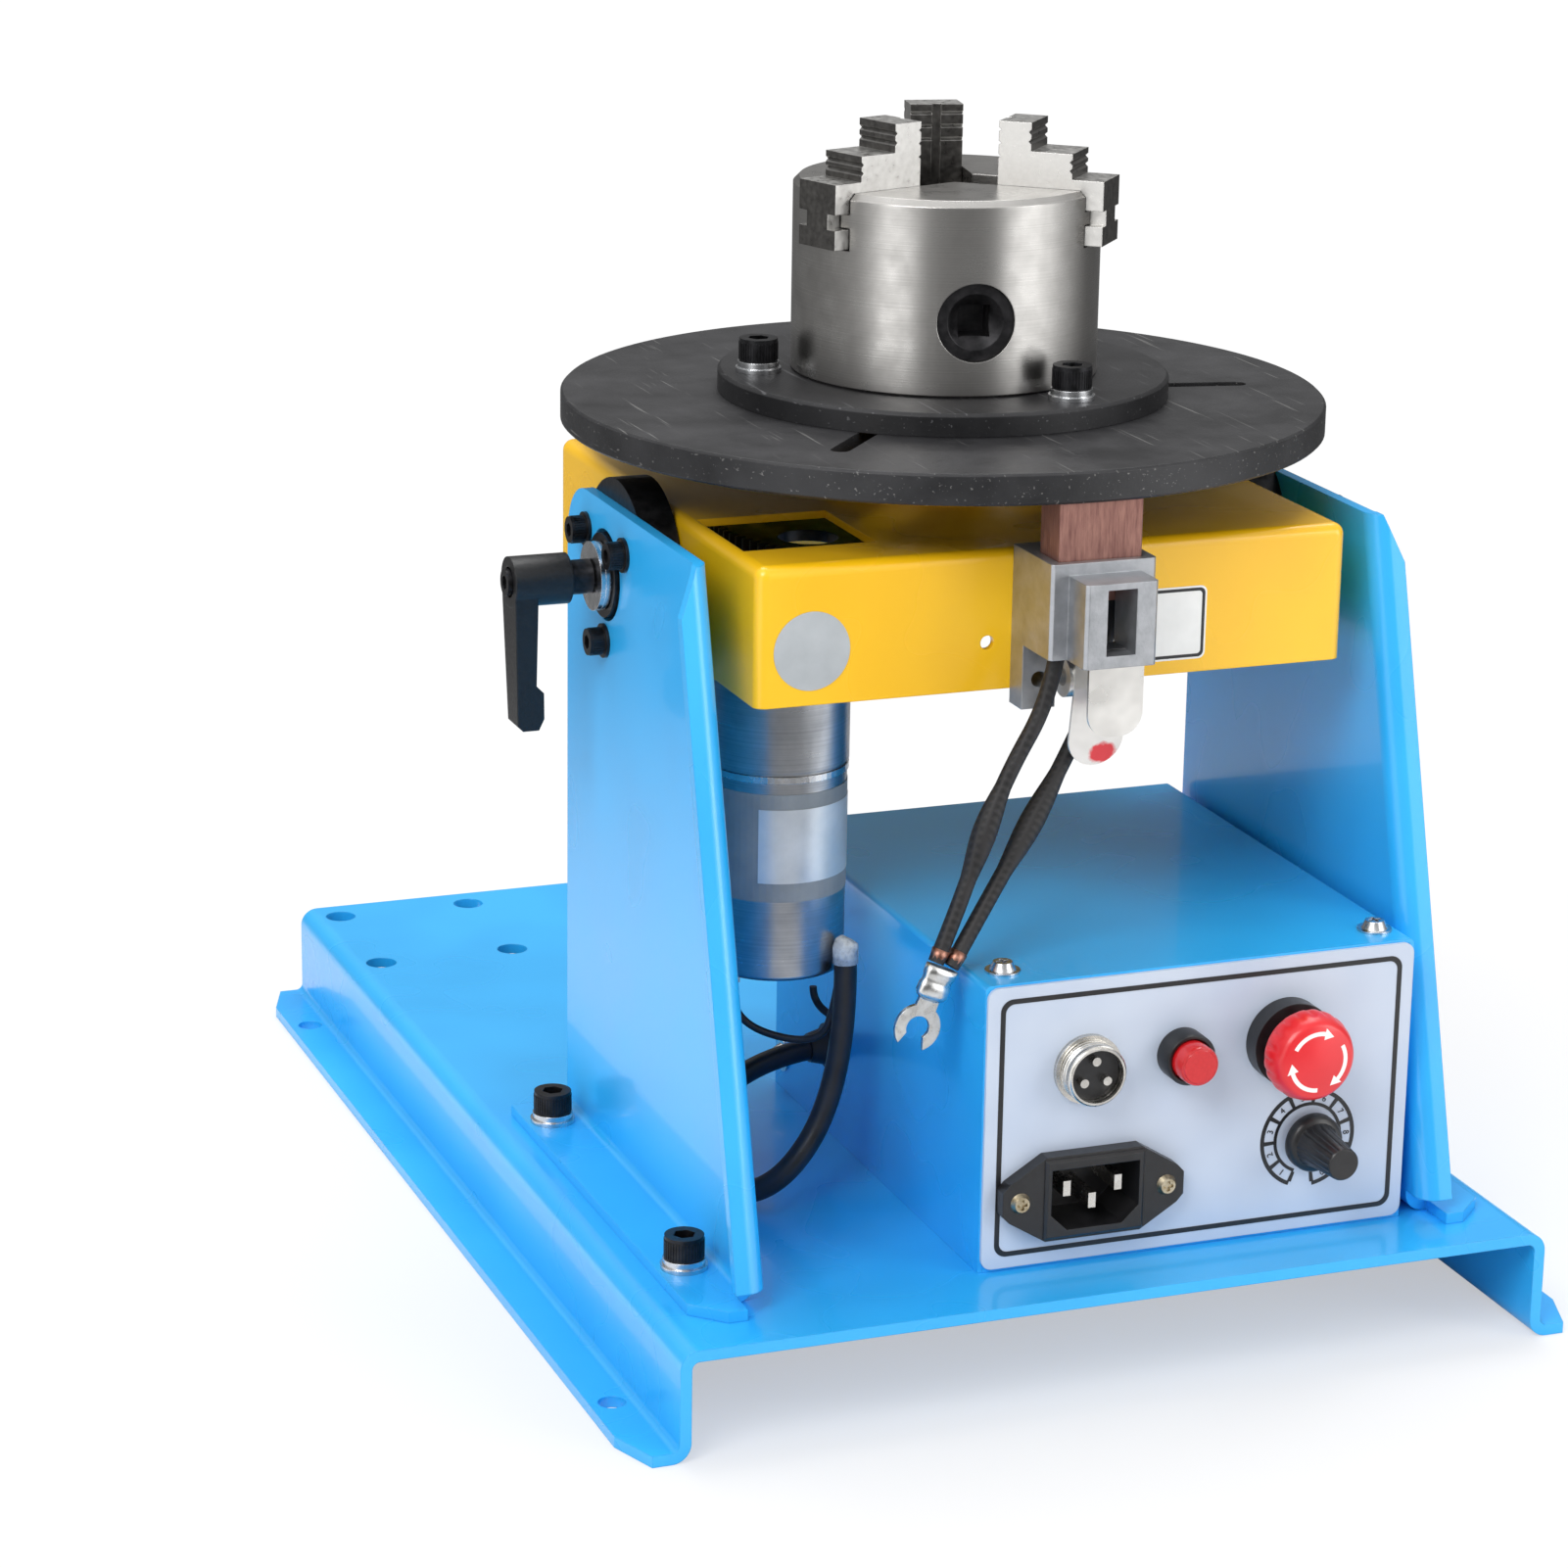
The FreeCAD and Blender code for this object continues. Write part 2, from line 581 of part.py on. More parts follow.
bolts, washers = [], []
for sx in BOTH:
    for y in (foot_bolt_y1, foot_bolt_y2):
        at = (foot_bolt_x * sx, -y)
        head_z = tread_top + washer_t + spring_t
        bolts.append(socket_screw(at[0], at[1], head_z, "+z", m6_head_r, m6_head, m6, head_z - top_z + 6))
        washers.append(ring(washer_r, m6_hole, washer_t, at[0], at[1], tread_top))
        split = box(at[0] + m6, at[1] - 0.4, head_z - spring_t, spring_r - m6 + 1, 0.8, spring_t)
        washers.append(cut(ring(spring_r, m6_hole, spring_t, at[0], at[1], tread_top + washer_t), split))
node(group(*bolts), "bracket_bolts", BLACK)
node(group(*washers), "bracket_washers", (0.75, 0.75, 0.78))

# ---------------------------------------------------------------- tilt pivots
hub_in = hsg_x + gap
hubs, pivots = [], []
for sx, way in ((1, "+x"), (-1, "-x")):
    disc = cyl(hub_r, web_in - hub_in, hub_in * sx, tilt_y, tilt_z, way)
    boss = cyl(boss_r, plate_t + boss_out, web_in * sx, tilt_y, tilt_z, way)
    tools = [cyl(shaft_r + run_gap, 20, (hub_in - 2) * sx, tilt_y, tilt_z, way)]
    for deg in (30, 150, 270):
        y, z = tilt_y + cosd(deg) * pivot_pcd_r, tilt_z + sind(deg) * pivot_pcd_r
        tools.append(cyl(m4, 7, (web_in - 7) * sx, y, z, way))
        pivots.append(socket_screw((web_out + m4_washer_t) * sx, y, z, way, m4_head_r, m4_head, m4, 9))
        pivots.append(ring(m4_washer_r, m4 + 0.15, m4_washer_t, web_out * sx, y, z, way))
    hubs.append(cut(fuse(disc, boss), *tools))
node(group(*hubs), "pivot_hubs", BLACK)
node(group(*pivots), "pivot_screws", BLACK)

# trunnions: flange welded inside the housing side, shaft running in the hub
end_x = web_out + boss_out + 0.3
trunnions, clamp_rings = [], []
for sx, way in ((1, "+x"), (-1, "-x")):
    wall = hsg_x - hsg_t
    flange = cyl(shaft_r + 6, 4, (wall - 4) * sx, tilt_y, tilt_z, way)
    shaft = cyl(shaft_r, end_x - wall, wall * sx, tilt_y, tilt_z, way)
    trunnions.append(cut(fuse(flange, shaft), cyl(m6 + run_gap, 24, (wall - 4) * sx, tilt_y, tilt_z, way)))
    for k in range(2):
        clamp_rings.append(ring(9, m6 + 0.2, 1.3, (end_x + 1.3 * k) * sx, tilt_y, tilt_z, way))
node(group(*trunnions), "trunnions", (0.6, 0.6, 0.62))
node(group(*clamp_rings), "clamp_washers", (0.75, 0.75, 0.78))

# ---------------------------------------------------------------- clamp levers
core_x = end_x + 2.6 + gap                        # where the lever's sleeve starts
grip_x = core_x + 5.8                             # where the handle's hub starts
for sx, way, side_name in ((1, "+x", "right"), (-1, "-x", "left")):
    def lever_cyl(r, x0, x1):
        return cyl(r, q(x1) - q(x0), q(x0) * sx, tilt_y, tilt_z, way)
    screw_x = grip_x + 14
    core = fuse(lever_cyl(m6, end_x - 14, core_x + 1), lever_cyl(4.5, core_x, grip_x),
                lever_cyl(4.9, grip_x, grip_x + 6), lever_cyl(1.9, grip_x + 6, screw_x))
    screw = cut(lever_cyl(3.5, screw_x, screw_x + 3), hexagon(2, 2, (screw_x + 1.2) * sx, tilt_y, tilt_z, way))
    node(fuse(core, screw), "lever_core_" + side_name, (0.2, 0.2, 0.2))

    grip = new_body("lever_handle_" + side_name)
    hub = circle(sketch(grip, "YZ", (grip_x + gap) * sx), tilt_y, tilt_z, lever_hub_r)
    pad(grip, hub, 15.8 - gap, back=sx < 0)
    arm_in, arm_out = grip_x + 9.6, grip_x + 15.8
    arm = outline(sketch(grip, "XZ", -tilt_y - 5.6), [
        (arm_in * sx, tilt_z), (arm_out * sx, tilt_z), (arm_out * sx, tilt_z - 4),
        ((arm_out - 1) * sx, tilt_z - lever_len + 1.5), ((arm_out - 2.5) * sx, tilt_z - lever_len),
        ((arm_in - 0.6) * sx, tilt_z - lever_len), ((arm_in - 2) * sx, tilt_z - lever_len + 3),
        ((arm_in - 1.8) * sx, tilt_z - lever_len + 10), ((arm_in + 0.2) * sx, tilt_z - lever_len + 12)])
    pad(grip, arm, 11.2)
    taper = sketch(grip, "YZ", (grip_x + 4) * sx)
    for sy in BOTH:
        outline(taper, [(tilt_y + 5.65 * sy, tilt_z - 5), (tilt_y + 4 * sy, tilt_z - lever_len - 1),
                        (tilt_y + 9 * sy, tilt_z - lever_len - 1), (tilt_y + 9 * sy, tilt_z - 7)])
    pocket(grip, taper, 14, back=sx > 0)
    bores = circle(sketch(grip, "YZ", grip_x * sx), tilt_y, tilt_z, 5.3)
    pocket(grip, bores, 6.4 + gap, back=sx > 0)
    pocket(grip, circle(sketch(grip, "YZ", grip_x * sx), tilt_y, tilt_z, 2.3), 17, back=sx > 0)
    seat = circle(sketch(grip, "YZ", (arm_out + 1) * sx), tilt_y, tilt_z, 4)
    pocket(grip, seat, 7.6, back=sx < 0)
    node(grip, "lever_handle_" + side_name, BLACK)

# ---------------------------------------------------------------- tilting housing: folded tray, open below
shell = new_body("tilt_housing")
pad(shell, rect(sketch(shell, "XY", hsg_low), -hsg_x, -hsg_front, hsg_x, hsg_back), hsg_h)
dress(shell, "Fillet", hsg_r, lambda p, d: near(p.z, hsg_top) or along(d, "z"))
hollow = rect(sketch(shell, "XY", hsg_low), hsg_t - hsg_x, hsg_t - hsg_front, hsg_x - hsg_t, hsg_back - hsg_t)
pocket(shell, hollow, hsg_h - hsg_t, back=True)
dress(shell, "Fillet", hsg_r - hsg_t, lambda p, d: near(p.z, hsg_top - hsg_t)
      and abs(p.x) < hsg_x.v - 1 and -hsg_front.v + 1 < p.y < hsg_back.v - 1)
deck = rect(sketch(shell, "XY", hsg_top + 1), port_x - port_w / 2, port_y - port_d / 2,
            port_x + port_w / 2, port_y + port_d / 2)
circle(deck, 0, axle_y, cup_r)
pocket(shell, deck, hsg_t + 2)
front = sketch(shell, "XZ", hsg_front + 1)
circle(front, -19, hsg_top - 23.3, 1.8)
rect(front, blk_x + 2, blk_low + 0.6, blk_x + 10.5, blk_low + 13.6)
pocket(shell, front, hsg_t + 2)
pocket(shell, circle(sketch(shell, "YZ", hsg_x + 1), tilt_y, tilt_z, shaft_r + run_gap), 2 * hsg_x + 2)
node(shell, "tilt_housing", YELLOW)

# motor bracket: folded corner plate welded to the front and left of the housing
plate = new_body("motor_bracket")
pl_x0, pl_y0 = hsg_t - hsg_x, hsg_t - hsg_front
pl_x1, pl_y1 = motor_x + motor_r + 4, tilt_y - shaft_r - 9
leg_top = motor_top + 24
pad(plate, outline(sketch(plate, "XZ", -pl_y0), [
    (pl_x0, motor_top), (pl_x1, motor_top), (pl_x1, motor_top + plate_t), (pl_x0 + hsg_t, motor_top + plate_t),
    (pl_x0 + hsg_t, leg_top), (pl_x0, leg_top)]), pl_y1 - pl_y0, back=True)
pad(plate, rect(sketch(plate, "XY", motor_top), pl_x0 + 6, pl_y0, pl_x1, pl_y0 + hsg_t), leg_top - motor_top)
dress(plate, "Fillet", bend_r, lambda p, d: near(p.x, pl_x0 + hsg_t) and along(d, "y")
      and near(p.z, motor_top + plate_t))
face = circle(sketch(plate, "XY", motor_top + plate_t), pinion_x, pinion_y, 6.2)
for k in range(6):
    circle(face, motor_x + cosd(pin_deg + 60 * k) * 15.5, motor_y + sind(pin_deg + 60 * k) * 15.5, 1.6)
pocket(plate, face, plate_t)
pocket(plate, rect(sketch(plate, "XY", leg_top + 1), pl_x0 - 1, pl_y0 - 1, pl_x0 + hsg_r, pl_y0 + hsg_r),
       leg_top - motor_top + 2)
node(plate, "motor_bracket", YELLOW)

# ---------------------------------------------------------------- gear motor
gearbox = new_body("motor_gearbox")
box_low = motor_top - gearbox_h
pad(gearbox, circle(sketch(gearbox, "XY", box_low), motor_x, motor_y, motor_r), gearbox_h)
dress(gearbox, "Chamfer", 0.8, lambda p, d: near(p.z, motor_top))
pad(gearbox, circle(sketch(gearbox, "XY", motor_top), pinion_x, pinion_y, 6), 5)
pocket(gearbox, circle(sketch(gearbox, "XY", motor_top + 5), pinion_x, pinion_y, m6 + run_gap), 20)
node(gearbox, "motor_gearbox", (0.6, 0.6, 0.62))
can_low = box_low - can_h
can = new_body("motor_can")
pad(can, circle(sketch(can, "XY", can_low), motor_x, motor_y, can_r), can_h)
dress(can, "Fillet", 1.5, lambda p, d: near(p.z, can_low))
pad(can, circle(sketch(can, "XY", can_low), motor_x, motor_y, 6.5), 3.5, back=True)
tabs = sketch(can, "XY", can_low)
for s in BOTH:
    rect(tabs, motor_x + 11 * s - 1.5, motor_y - 0.4, motor_x + 11 * s + 1.5, motor_y + 0.4)
pad(can, tabs, 5, back=True)
node(can, "motor_can", (0.65, 0.65, 0.67))


def gear_outline(teeth, module, out, root_in, thick):
    """Points of an involute-like gear with straight-sided teeth, first tooth on +X."""
    pts, pitch = [], 2 * math.pi / teeth
    pr, ro, ri = teeth * module / 2, teeth * module / 2 + out, teeth * module / 2 - root_in
    press = math.tan(math.radians(20))
    for k in range(teeth):
        for side, radii in ((-1, (ri, ro)), (1, (ro, ri))):
            for r in radii:
                half = thick / 2 - (r - pr) * press
                a = k * pitch + side * half / r
                pts.append(Vector(r * math.cos(a), r * math.sin(a), 0))
    return pts


def extruded(points, length):
    face = Part.Face(Part.makePolygon(points + points[:1]))
    return face.extrude(Vector(0, 0, length))


def solid_of(shape, name, x=0, y=0, z=0, turn=None):
    obj = doc.addObject("Part::Feature", name)
    obj.Shape = shape
    return place(obj, x, y, z, turn)


doc.recompute()
teeth_thick = 1.3 * gear_m.v                       # under half the pitch, for backlash
wheel = extruded(gear_outline(int(gear_n.v), gear_m.v, 0.9 * gear_m.v, 1.2 * gear_m.v, teeth_thick),
                 gear_w.v)
wheel_turn = Rotation(Vector(0, 0, 1), pin_deg.v)
wheel_obj = solid_of(wheel, "Wheel", 0, axle_y, gear_low, wheel_turn)
webs = ring(gear_n * gear_m / 2 - 6, 18, gear_w, 0, axle_y, gear_low + 3)
lights = [cyl(8, gear_w + 2, cosd(60 * k) * 37, axle_y + sind(60 * k) * 37, gear_low - 1) for k in range(6)]
gear_hub = cyl(14, 6, 0, axle_y, gear_low - 6)
gear_seat = cyl(spindle_r - 2, gear_w + 8, 0, axle_y, gear_low - 7)
node(cut(fuse(wheel_obj, gear_hub), webs, gear_seat, *lights), "drive_gear", BLACK)

pinion_pts = gear_outline(int(pin_n.v), gear_m.v, 0.9 * gear_m.v, 1.2 * gear_m.v, teeth_thick)
half_step = 180.0 / pin_n.v
pinion_turn = Rotation(Vector(0, 0, 1), pin_deg.v + 180 + half_step)
teeth_obj = solid_of(extruded(pinion_pts, gear_w.v), "Pinion", pinion_x, pinion_y, gear_low,
                     pinion_turn)
node(fuse(teeth_obj, cyl(5, 6, pinion_x, pinion_y, gear_low - 6),
          cyl(m6, gear_low - motor_top + 9, pinion_x, pinion_y, motor_top - 9)), "motor_pinion", (0.6, 0.6, 0.6))

# ---------------------------------------------------------------- spindle, bearings and cup
cup = new_body("bearing_cup")
lip_z = brg_low - 1.5
cup_top = brg_low + 2 * brg_w + 0.5
turned(cup, outline(sketch(cup, "XZ", -axle_y), [
    (spindle_r + 3.5, lip_z), (cup_r, lip_z), (cup_r, hsg_top), (cup_r + 11, hsg_top), (cup_r + 11, hsg_top + 4),
    (cup_r, hsg_top + 4), (cup_r, cup_top), (brg_r, cup_top), (brg_r, brg_low), (spindle_r + 3.5, brg_low)]))
node(cup, "bearing_cup", YELLOW)
bearings = []
for k in range(2):
    z = brg_low + brg_w * k
    race = cut(cyl(brg_r, brg_w, 0, axle_y, z), cyl(spindle_r, brg_w, 0, axle_y, z),
               *[ring(brg_r - 1.8, spindle_r + 1.8, 0.5, 0, axle_y, z + e) for e in (0, brg_w - 0.5)])
    bearings.append(race)
node(group(*bearings), "spindle_bearings", (0.7, 0.7, 0.72))
spindle = new_body("spindle")
turned(spindle, outline(sketch(spindle, "XZ", -axle_y), [
    (spindle_bore_r, gear_low - 10), (spindle_r - 2, gear_low - 10), (spindle_r - 2, gear_low + gear_w),
    (spindle_r - run_gap, gear_low + gear_w), (spindle_r - run_gap, cup_top + gap),
    (spindle_r + 20, cup_top + gap), (spindle_r + 20, table_low), (nose_r, table_low),
    (nose_r, table_top), (spindle_bore_r, table_top)]))
node(spindle, "spindle", (0.6, 0.6, 0.62))

# ---------------------------------------------------------------- table and chuck flange
spin_turn = Rotation(Vector(0, 0, 1), spin_deg.v)


def spun(obj, x=0, y=axle_y, z=0):
    """Bodies of the spindle are drawn about their own axis, then turned to the rest pose."""
    place(obj, x, y, z, spin_turn)
    obj.setExpression("Placement.Rotation.Angle", spin_deg.e)
    return obj


table = new_body("table")
pad(table, circle(sketch(table, "XY"), 0, 0, table_r), table_t)
dress(table, "Chamfer", 0.6, lambda p, d: True)
pocket(table, circle(sketch(table, "XY", table_t), 0, 0, nose_r + run_gap), table_t)
slot = pocket(table, rect(sketch(table, "XY", table_t), slot_in, -slot_w / 2, slot_out - slot_w / 2, slot_w / 2),
              table_t)
slot_end = pocket(table, circle(sketch(table, "XY", table_t), slot_out - slot_w / 2, 0, slot_w / 2), table_t)
bolt_hole = pocket(table, circle(sketch(table, "XY", table_t), cosd(60) * flange_pcd_r,
                                 sind(60) * flange_pcd_r, m6 + run_gap), table_t)
around(table, [slot, slot_end, bolt_hole], 3)
node(spun(table, z=table_low), "table", BLACK)

adapter = new_body("chuck_flange")
pad(adapter, circle(sketch(adapter, "XY"), 0, 0, flange_r), flange_t)
dress(adapter, "Chamfer", 0.8, lambda p, d: near(p.z, flange_t))
pocket(adapter, circle(sketch(adapter, "XY", flange_t), 0, 0, chuck_bore_r), flange_t)
hole = pocket(adapter, circle(sketch(adapter, "XY", flange_t), cosd(60) * flange_pcd_r,
                              sind(60) * flange_pcd_r, m6_hole), flange_t)
around(adapter, [hole], 3)
node(spun(adapter, z=table_top), "chuck_flange", BLACK)

bolts, washers = [], []
for k in range(3):
    a = spin_deg + 60 + 120 * k
    x, y = cosd(a) * flange_pcd_r, axle_y + sind(a) * flange_pcd_r
    washers.append(ring(washer_r, m6_hole, washer_t, x, y, flange_top))
    washers.append(ring(spring_r, m6_hole, spring_t, x, y, flange_top + washer_t))
    bolts.append(socket_screw(x, y, flange_top + washer_t + spring_t, "+z", m6_head_r, m6_head, m6,
                              washer_t + spring_t + flange_t + table_t - 1))
node(group(*bolts), "flange_bolts", BLACK)
node(group(*washers), "flange_washers", (0.75, 0.75, 0.78))

# ---------------------------------------------------------------- three-jaw scroll chuck
# Drawn about its own axis from its back face. A key pinion lies along local -Y, a jaw along +Y.
foot_z = chuck_h - jaw_sink                        # underside of the jaws
scroll_top = foot_z - jaw_gap - 0.5                # top of the scroll ridges
disc_top = scroll_top - 2
mesh_r = key_n * gear_m / 2                        # pitch radius of a key pinion
disc_low = key_z + mesh_r + 1.3
tooth_in, tooth_out = 23, 28                   # where the key pinions meet the scroll
sleeve_r = chuck_bore_r + 2.5

chuck = new_body("chuck_body")
pad(chuck, circle(sketch(chuck, "XY"), 0, 0, chuck_r), chuck_h)
dress(chuck, "Chamfer", 1.6, lambda p, d: near(p.z, chuck_h))
dress(chuck, "Chamfer", 0.6, lambda p, d: near(p.z, 0))
pocket(chuck, circle(sketch(chuck, "XY", chuck_h), 0, 0, chuck_bore_r), chuck_h)
room = sketch(chuck, "XZ")
turned(chuck, outline(room, [(sleeve_r, key_z), (scroll_r + 0.4, key_z), (scroll_r + 0.4, foot_z - 0.5),
                             (sleeve_r, foot_z - 0.5)]), True)
pocket(chuck, circle(sketch(chuck, "XY", foot_z), 0, 0, sleeve_r + 0.1), foot_z - scroll_top + 2.4)
wide, slim = jaw_w / 2 + jaw_gap, jaw_neck / 2 + jaw_gap
rib_low, rib_top = foot_z + 5 + jaw_gap, foot_z + 9 - jaw_gap
guide = pocket(chuck, outline(sketch(chuck, "XZ"), [
    (-wide, foot_z - 0.5), (wide, foot_z - 0.5), (wide, rib_low), (slim, rib_low), (slim, rib_top),
    (wide, rib_top), (wide, chuck_h + 1), (-wide, chuck_h + 1), (-wide, rib_top), (-slim, rib_top),
    (-slim, rib_low), (-wide, rib_low)]), chuck_r + 1)
mouth = pocket(chuck, circle(sketch(chuck, "XZ", chuck_r + 1), 0, key_z, key_r + run_gap), chuck_r - scroll_r)
well = pocket(chuck, circle(sketch(chuck, "XZ", chuck_r), 0, key_z, key_r - 1.6), chuck_r - tooth_in + 1.5)
around(chuck, [guide, mouth, well], 3)
node(spun(chuck, z=flange_top), "chuck_body", (0.72, 0.72, 0.73))

# scroll: plate with a spiral ridge above and face teeth below
doc.recompute()
ridge_in, per_turn = 12.0, 24
turns = (scroll_r.v - ridge_in - ridge_t.v) / scroll_p.v


def spiral(shift):
    pts = []
    for k in range(int(turns * per_turn) + 1):
        a = 2 * math.pi * k / per_turn
        r = ridge_in + scroll_p.v * a / (2 * math.pi) + shift
        pts.append(Vector(r * math.cos(a), r * math.sin(a), 0))
    return pts


ridge = extruded(spiral(-ridge_t.v / 2) + spiral(ridge_t.v / 2)[::-1], 2.3)
plate_ring = ring(scroll_r, sleeve_r + 0.6, disc_top - disc_low, 0, 0, disc_low)
bars = []
for k in range(int(face_n.v)):
    bar = Part.makeBox(tooth_out - tooth_in, 1.0, 2.6, Vector(tooth_in, -0.5, 0))
    bar.rotate(Vector(), Vector(0, 0, 1), (k + 0.75) * 360.0 / face_n.v)
    bars.append(bar)
top_obj = solid_of(ridge, "Ridge", 0, 0, disc_top - 0.3)
bar_obj = solid_of(Part.makeCompound(bars), "Bars", 0, 0, key_z + mesh_r - 0.75)
node(spun(fuse(plate_ring, top_obj, bar_obj), z=flange_top), "scroll", (0.5, 0.5, 0.52))

# jaws
steps = (jaw_at + step1, jaw_at + step2, jaw_at + step3)
rises = (chuck_h + rise1, chuck_h + rise2, chuck_h + rise3)
for number, local in enumerate((90, 210, 330), 1):
    jaw = new_body("jaw_%d" % number)
    half = jaw_w / 2
    # stepped side profile with a serrated gripping face on every riser
    groove = 0.7
    side = [(jaw_at, foot_z)]
    top = [(jaw_at, foot_z + 11), (jaw_at, rises[0] - 3 * 3.4)]
    for k in range(3):
        low = rises[0] - (3 - k) * 3.4
        top += [(jaw_at, low + 0.7), (jaw_at + groove, low + 1.2), (jaw_at, low + 1.7)]
    top += [(jaw_at, rises[0]), (steps[0], rises[0])]
    for k in (0, 1):
        fall = (rises[k] - rises[k + 1]) / 3
        for m in (1, 2):
            z = rises[k] - fall * m
            top += [(steps[k], z + 0.7), (steps[k] - groove, z), (steps[k], z - 0.7)]
        top += [(steps[k], rises[k + 1]), (steps[k + 1], rises[k + 1])]
    blank = outline(sketch(jaw, "XZ"), side + top[1:] + [(steps[2], foot_z)])
    pad(jaw, blank, jaw_w, both=True)
    grooves = sketch(jaw, "YZ", steps[2] + 1)
    for s in BOTH:
        rect(grooves, jaw_neck / 2 * s, foot_z + 5, (half + 1) * s, foot_z + 9)
    pocket(jaw, grooves, step3 + 2)
    keel = rect(sketch(jaw, "XY", rises[0] + 1), jaw_at - 1, -1.2, jaw_at + 0.9, 1.2)
    pocket(jaw, keel, rise1 + 6)
    phase = scroll_p * (local / 360.0)
    first = ridge_in + phase + scroll_p / 2
    while first.v < jaw_at.v + 1.8:
        first = first + scroll_p
    racks = sketch(jaw, "XY", foot_z)
    at = first
    while at.v < scroll_r.v - 3.2:
        rect(racks, at - tooth_t / 2, -tooth_half, at + tooth_t / 2, tooth_half)
        at = at + scroll_p
    pad(jaw, racks, foot_z - disc_top - 0.4, back=True)
    place(jaw, 0, axle_y, flange_top, Rotation(Vector(0, 0, 1), spin_deg.v + local))
    jaw.setExpression("Placement.Rotation.Angle", (spin_deg + local).e)
    node(jaw, "jaw_%d" % number, (0.7, 0.7, 0.71))

# key pinions: one in each gap between two jaws
for number, local in enumerate((270, 30, 150), 1):
    teeth_pts = gear_outline(int(key_n.v), gear_m.v, 0.9, 1.1, 1.1)
    doc.recompute()
    teeth = solid_of(extruded(teeth_pts, tooth_out - tooth_in), "Key", tooth_in, 0, key_z,
                     Rotation(Vector(0, 1, 0), 90))
    neck = cyl(key_r - 2.2, scroll_r + 1.4 - tooth_out, tooth_out, 0, key_z, "+x")
    head = cyl(key_r, chuck_r - 1.7 - scroll_r - 1.4, scroll_r + 1.4, 0, key_z, "+x")
    square = box(chuck_r - 11.5, -key_sq / 2, key_z - key_sq / 2, 12, key_sq, key_sq)
    flare = cone(key_sq / 2, key_sq / 2 + 3.2, 3.2, chuck_r - 1.7 - 3.2, 0, key_z, "+x")
    pinion = cut(fuse(teeth, neck, head), square, flare)
    place(pinion, 0, axle_y, flange_top, Rotation(Vector(0, 0, 1), spin_deg.v + local))
    pinion.setExpression("Placement.Rotation.Angle", (spin_deg + local).e)
    node(pinion, "key_pinion_%d" % number, (0.3, 0.3, 0.31))

# ---------------------------------------------------------------- brush block on the front of the housing
block = new_body("brush_block")
bx0, bx1 = blk_x - blk_w / 2, blk_x + blk_w / 2
blk_back = blk_front - 21
pad(block, rect(sketch(block, "XY", blk_low), bx0, -blk_front, bx1, -blk_back), blk_h)
arm = rect(sketch(block, "XY", blk_low - 16.5), bx0, -hsg_front - 7.5, bx0 + 9, -hsg_front)
pad(block, arm, blk_h + 16.5)
bezel_x0, bezel_x1 = bx0 + 4.6, bx1 - 4.2
pad(block, rect(sketch(block, "XY", blk_low), bezel_x0, -blk_front - 10.5, bezel_x1, -blk_front), blk_h - 3)
dress(block, "Chamfer", 0.8, lambda p, d: along(d, "z") and (near(p.y, -blk_front - 10.5)
      or near(p.y, -blk_front) and (near(p.x, bx0) or near(p.x, bx1))))
bay_x0, bay_x1 = blk_x - brush_w / 2 - brush_gap, blk_x + brush_w / 2 + brush_gap
bay_y0, bay_y1 = -brush_front - brush_gap, brush_d - brush_front + brush_gap
pocket(block, rect(sketch(block, "XY", blk_top), bay_x0, bay_y0, bay_x1, bay_y1), blk_h)
window = rect(sketch(block, "XZ", blk_front + 11), blk_x - 3.7, blk_low + 3, blk_x + 4.1, blk_top - 4.6)
pocket(block, window, 13.5)
rear = rect(sketch(block, "XZ", blk_back - 1), blk_x + 2, blk_low + 0.6, blk_x + 10.5, blk_low + 13.6)
pocket(block, rear, 8, back=True)
tongue_y = blk_front + 5.2
slit = rect(sketch(block, "XY", blk_low - 1), blk_x - 5.6, -tongue_y, blk_x + 9.1, 0.9 - tongue_y)
pocket(block, slit, 4, back=True)
bolt_x, bolt_z = bx0 + 4.5, blk_low - 9
bolt_seat = circle(sketch(block, "XZ", hsg_front + 8), bolt_x, bolt_z, m4)
pocket(block, bolt_seat, 9)
node(block, "brush_block", (0.6, 0.61, 0.63))

roll_x0, roll_w, roll_r = blk_x - 6.4, 8, 5.2
roll_y, roll_z = bay_y1 - 0.6 + 0.01 - roll_r, blk_low - 6.7
back_y = bay_y1 - 0.6
roll = ring(roll_r, 2.4, roll_w, roll_x0, roll_y, roll_z, "+x")
riser = box(roll_x0, back_y, roll_z, roll_w, 0.6, blk_low - roll_z + 9)
tail = new_body("spring_tail")
pad(tail, outline(sketch(tail, "YZ", blk_x - 5.4), [
    (roll_y - roll_r - 0.3, roll_z - 2), (roll_y - roll_r + 0.5, roll_z - 2), (roll_y - roll_r + 0.5, roll_z + 5),
    (roll_y - roll_r - 0.3, roll_z + 5)]), 14.7)
pad(tail, outline(sketch(tail, "YZ", blk_x - 5.4), [
    (roll_y - roll_r - 0.3, roll_z - 2), (roll_y - roll_r + 3.2, roll_z - 23), (roll_y - roll_r + 4, roll_z - 23),
    (roll_y - roll_r + 0.5, roll_z - 2)]), 14.7)
node(fuse(roll, riser, tail), "brush_spring", (0.8, 0.8, 0.82))
tongue = new_body("brush_clip")
pad(tongue, rect(sketch(tongue, "YZ", blk_x - 5.6), -tongue_y, blk_low - 19, 0.9 - tongue_y, blk_low + 3), 14.7)
dress(tongue, "Fillet", 6, lambda p, d: along(d, "y") and near(p.z, blk_low - 19))
node(tongue, "brush_clip", (0.85, 0.85, 0.86))

